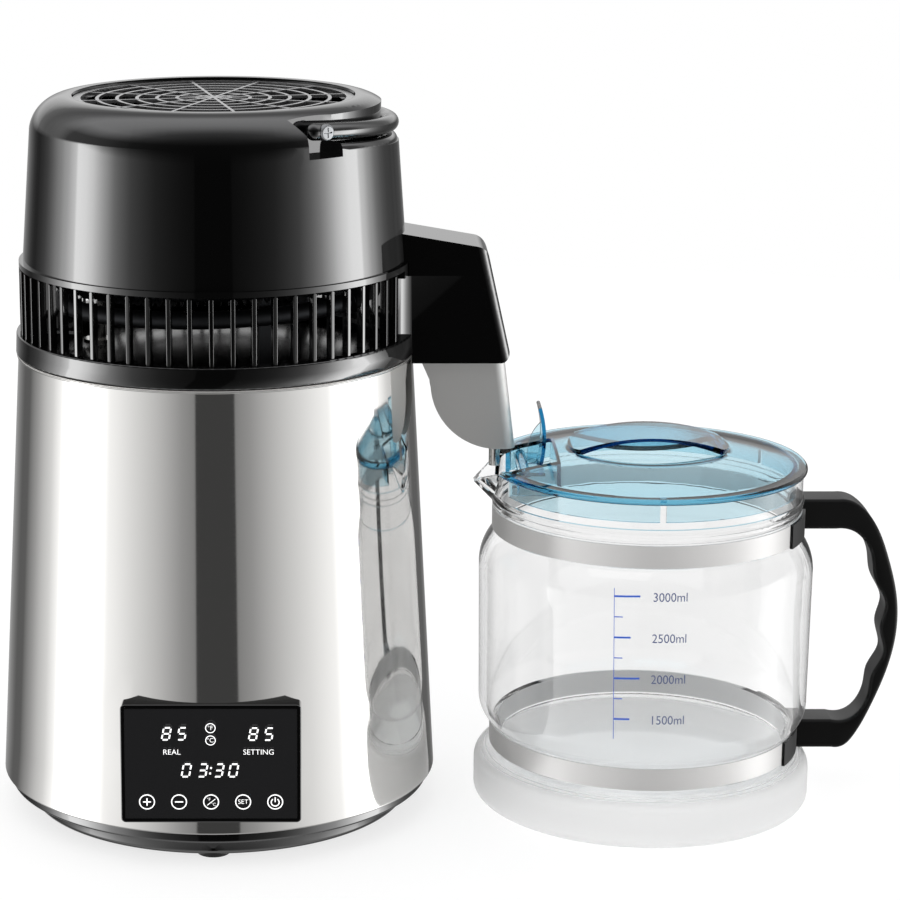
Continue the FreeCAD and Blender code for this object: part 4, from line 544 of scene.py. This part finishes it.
tone = add(tree, "MixRGB", ("Fac", inner.outputs[0]), ("Color1", linear("#d0cfce")),
           ("Color2", linear("#e9e9e9")))
metal = add(tree, "MapRange", ("Value", inner.outputs[0]), ("To Min", 0.4), ("To Max", 0.0))
for socket, source in (("Roughness", sided), ("Base Color", tone), ("Metallic", metal)):
    tree.links.new(source.outputs[0], shader.inputs[socket])
dress(["upper_band", "lower_band"], band_steel)
nylon = plastic("grained black nylon", "#030303", 0.36)
nylon.node_tree.nodes["Principled BSDF"].inputs["Specular IOR Level"].default_value = 0.25
dress(["jug_handle"], nylon)
dress(["jug_screws"], zinc)
for name in ("upper_band", "lower_band", "jug_handle", "jug_screws"):
    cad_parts[name].visible_glossy = False

# ---- Volume scale on the jug ---------------------------------------------------------------
# Blue ceramic ink fired onto the jug's front: one upright line, a stroke each 250 ml and a figure
# each 500 ml.
GLASS_R = 0.08898
FOOT_MARK, QUARTER = 70.7, 10.9


def stroke(v, reach_out, width):
    """A level stroke from the upright line, in short lengths that follow the round glass."""
    start = -24.3 - 0.0135 * (v - 100.0)
    cuts = np.linspace(0.0, reach_out, 9)
    rise = 0.05
    return [bar(start + a, v + rise * a, start + b, v + rise * b, width) for a, b in zip(cuts, cuts[1:])]


marks = [bar(-23.6, 60.0, -24.9, 140.4, 0.32)]
for step_up, reach_out in enumerate((8.3, 4.4, 13.2, 4.4, 8.5, 4.4, 13.2)):
    marks += stroke(FOOT_MARK + QUARTER * step_up, reach_out, 1.0 if step_up % 2 == 0 else 0.55)


def round_the_jug(u, v):
    """Distance along the front is carried round the glass as an angle; height stays height."""
    angle = u * mm / GLASS_R - math.pi / 2
    return np.stack([JUG_AXIS + GLASS_R * np.cos(angle), GLASS_R * np.sin(angle), v * mm], -1)


# Painted light: the scale's inks give off a little light of their own.
printed("scale_lines", marks, round_the_jug, ink("fired blue ink, painted glow", "#2450b0", 0.35), "jug")
amounts = []
for step_up, figure in enumerate((1500, 2000, 2500, 3000)):
    corners, faces = words(f"{figure}ml", 0.0, 0.0, 4.7, 0.0)
    amounts.append((corners * [0.9, 1.0] + [3.7, FOOT_MARK + 2 * QUARTER * step_up], faces))
printed("scale_figures", amounts, round_the_jug, ink("fired slate ink, painted glow", "#46527a", 0.18), "jug")


# ---- Lid and pouring flap ------------------------------------------------------------------
# Both are moulded in a clear blue plastic: a thin wall is nearly colourless, and a wall seen along
# its length goes through cyan to navy.
def clear_plastic(name, thin, density):
    """Clear plastic whose colour builds up with the way that light goes inside it."""
    material, tree, shader = principled(name, Base_Color=(1.0, 1.0, 1.0, 1.0), Roughness=0.0,
                                        IOR=1.45, Transmission_Weight=1.0)
    dye = add(tree, "VolumeAbsorption", ("Color", thin), ("Density", density))
    tree.links.new(dye.outputs[0], tree.nodes["Material Output"].inputs["Volume"])
    return material


DYE, DYE_DENSITY = (0.0, 0.6, 0.77, 1.0), 230.0
dress(["jug_lid", "pour_flap"], clear_plastic("clear blue polycarbonate", DYE, DYE_DENSITY))
for name in ("jug_lid", "pour_flap"):
    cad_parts[name].visible_shadow = False
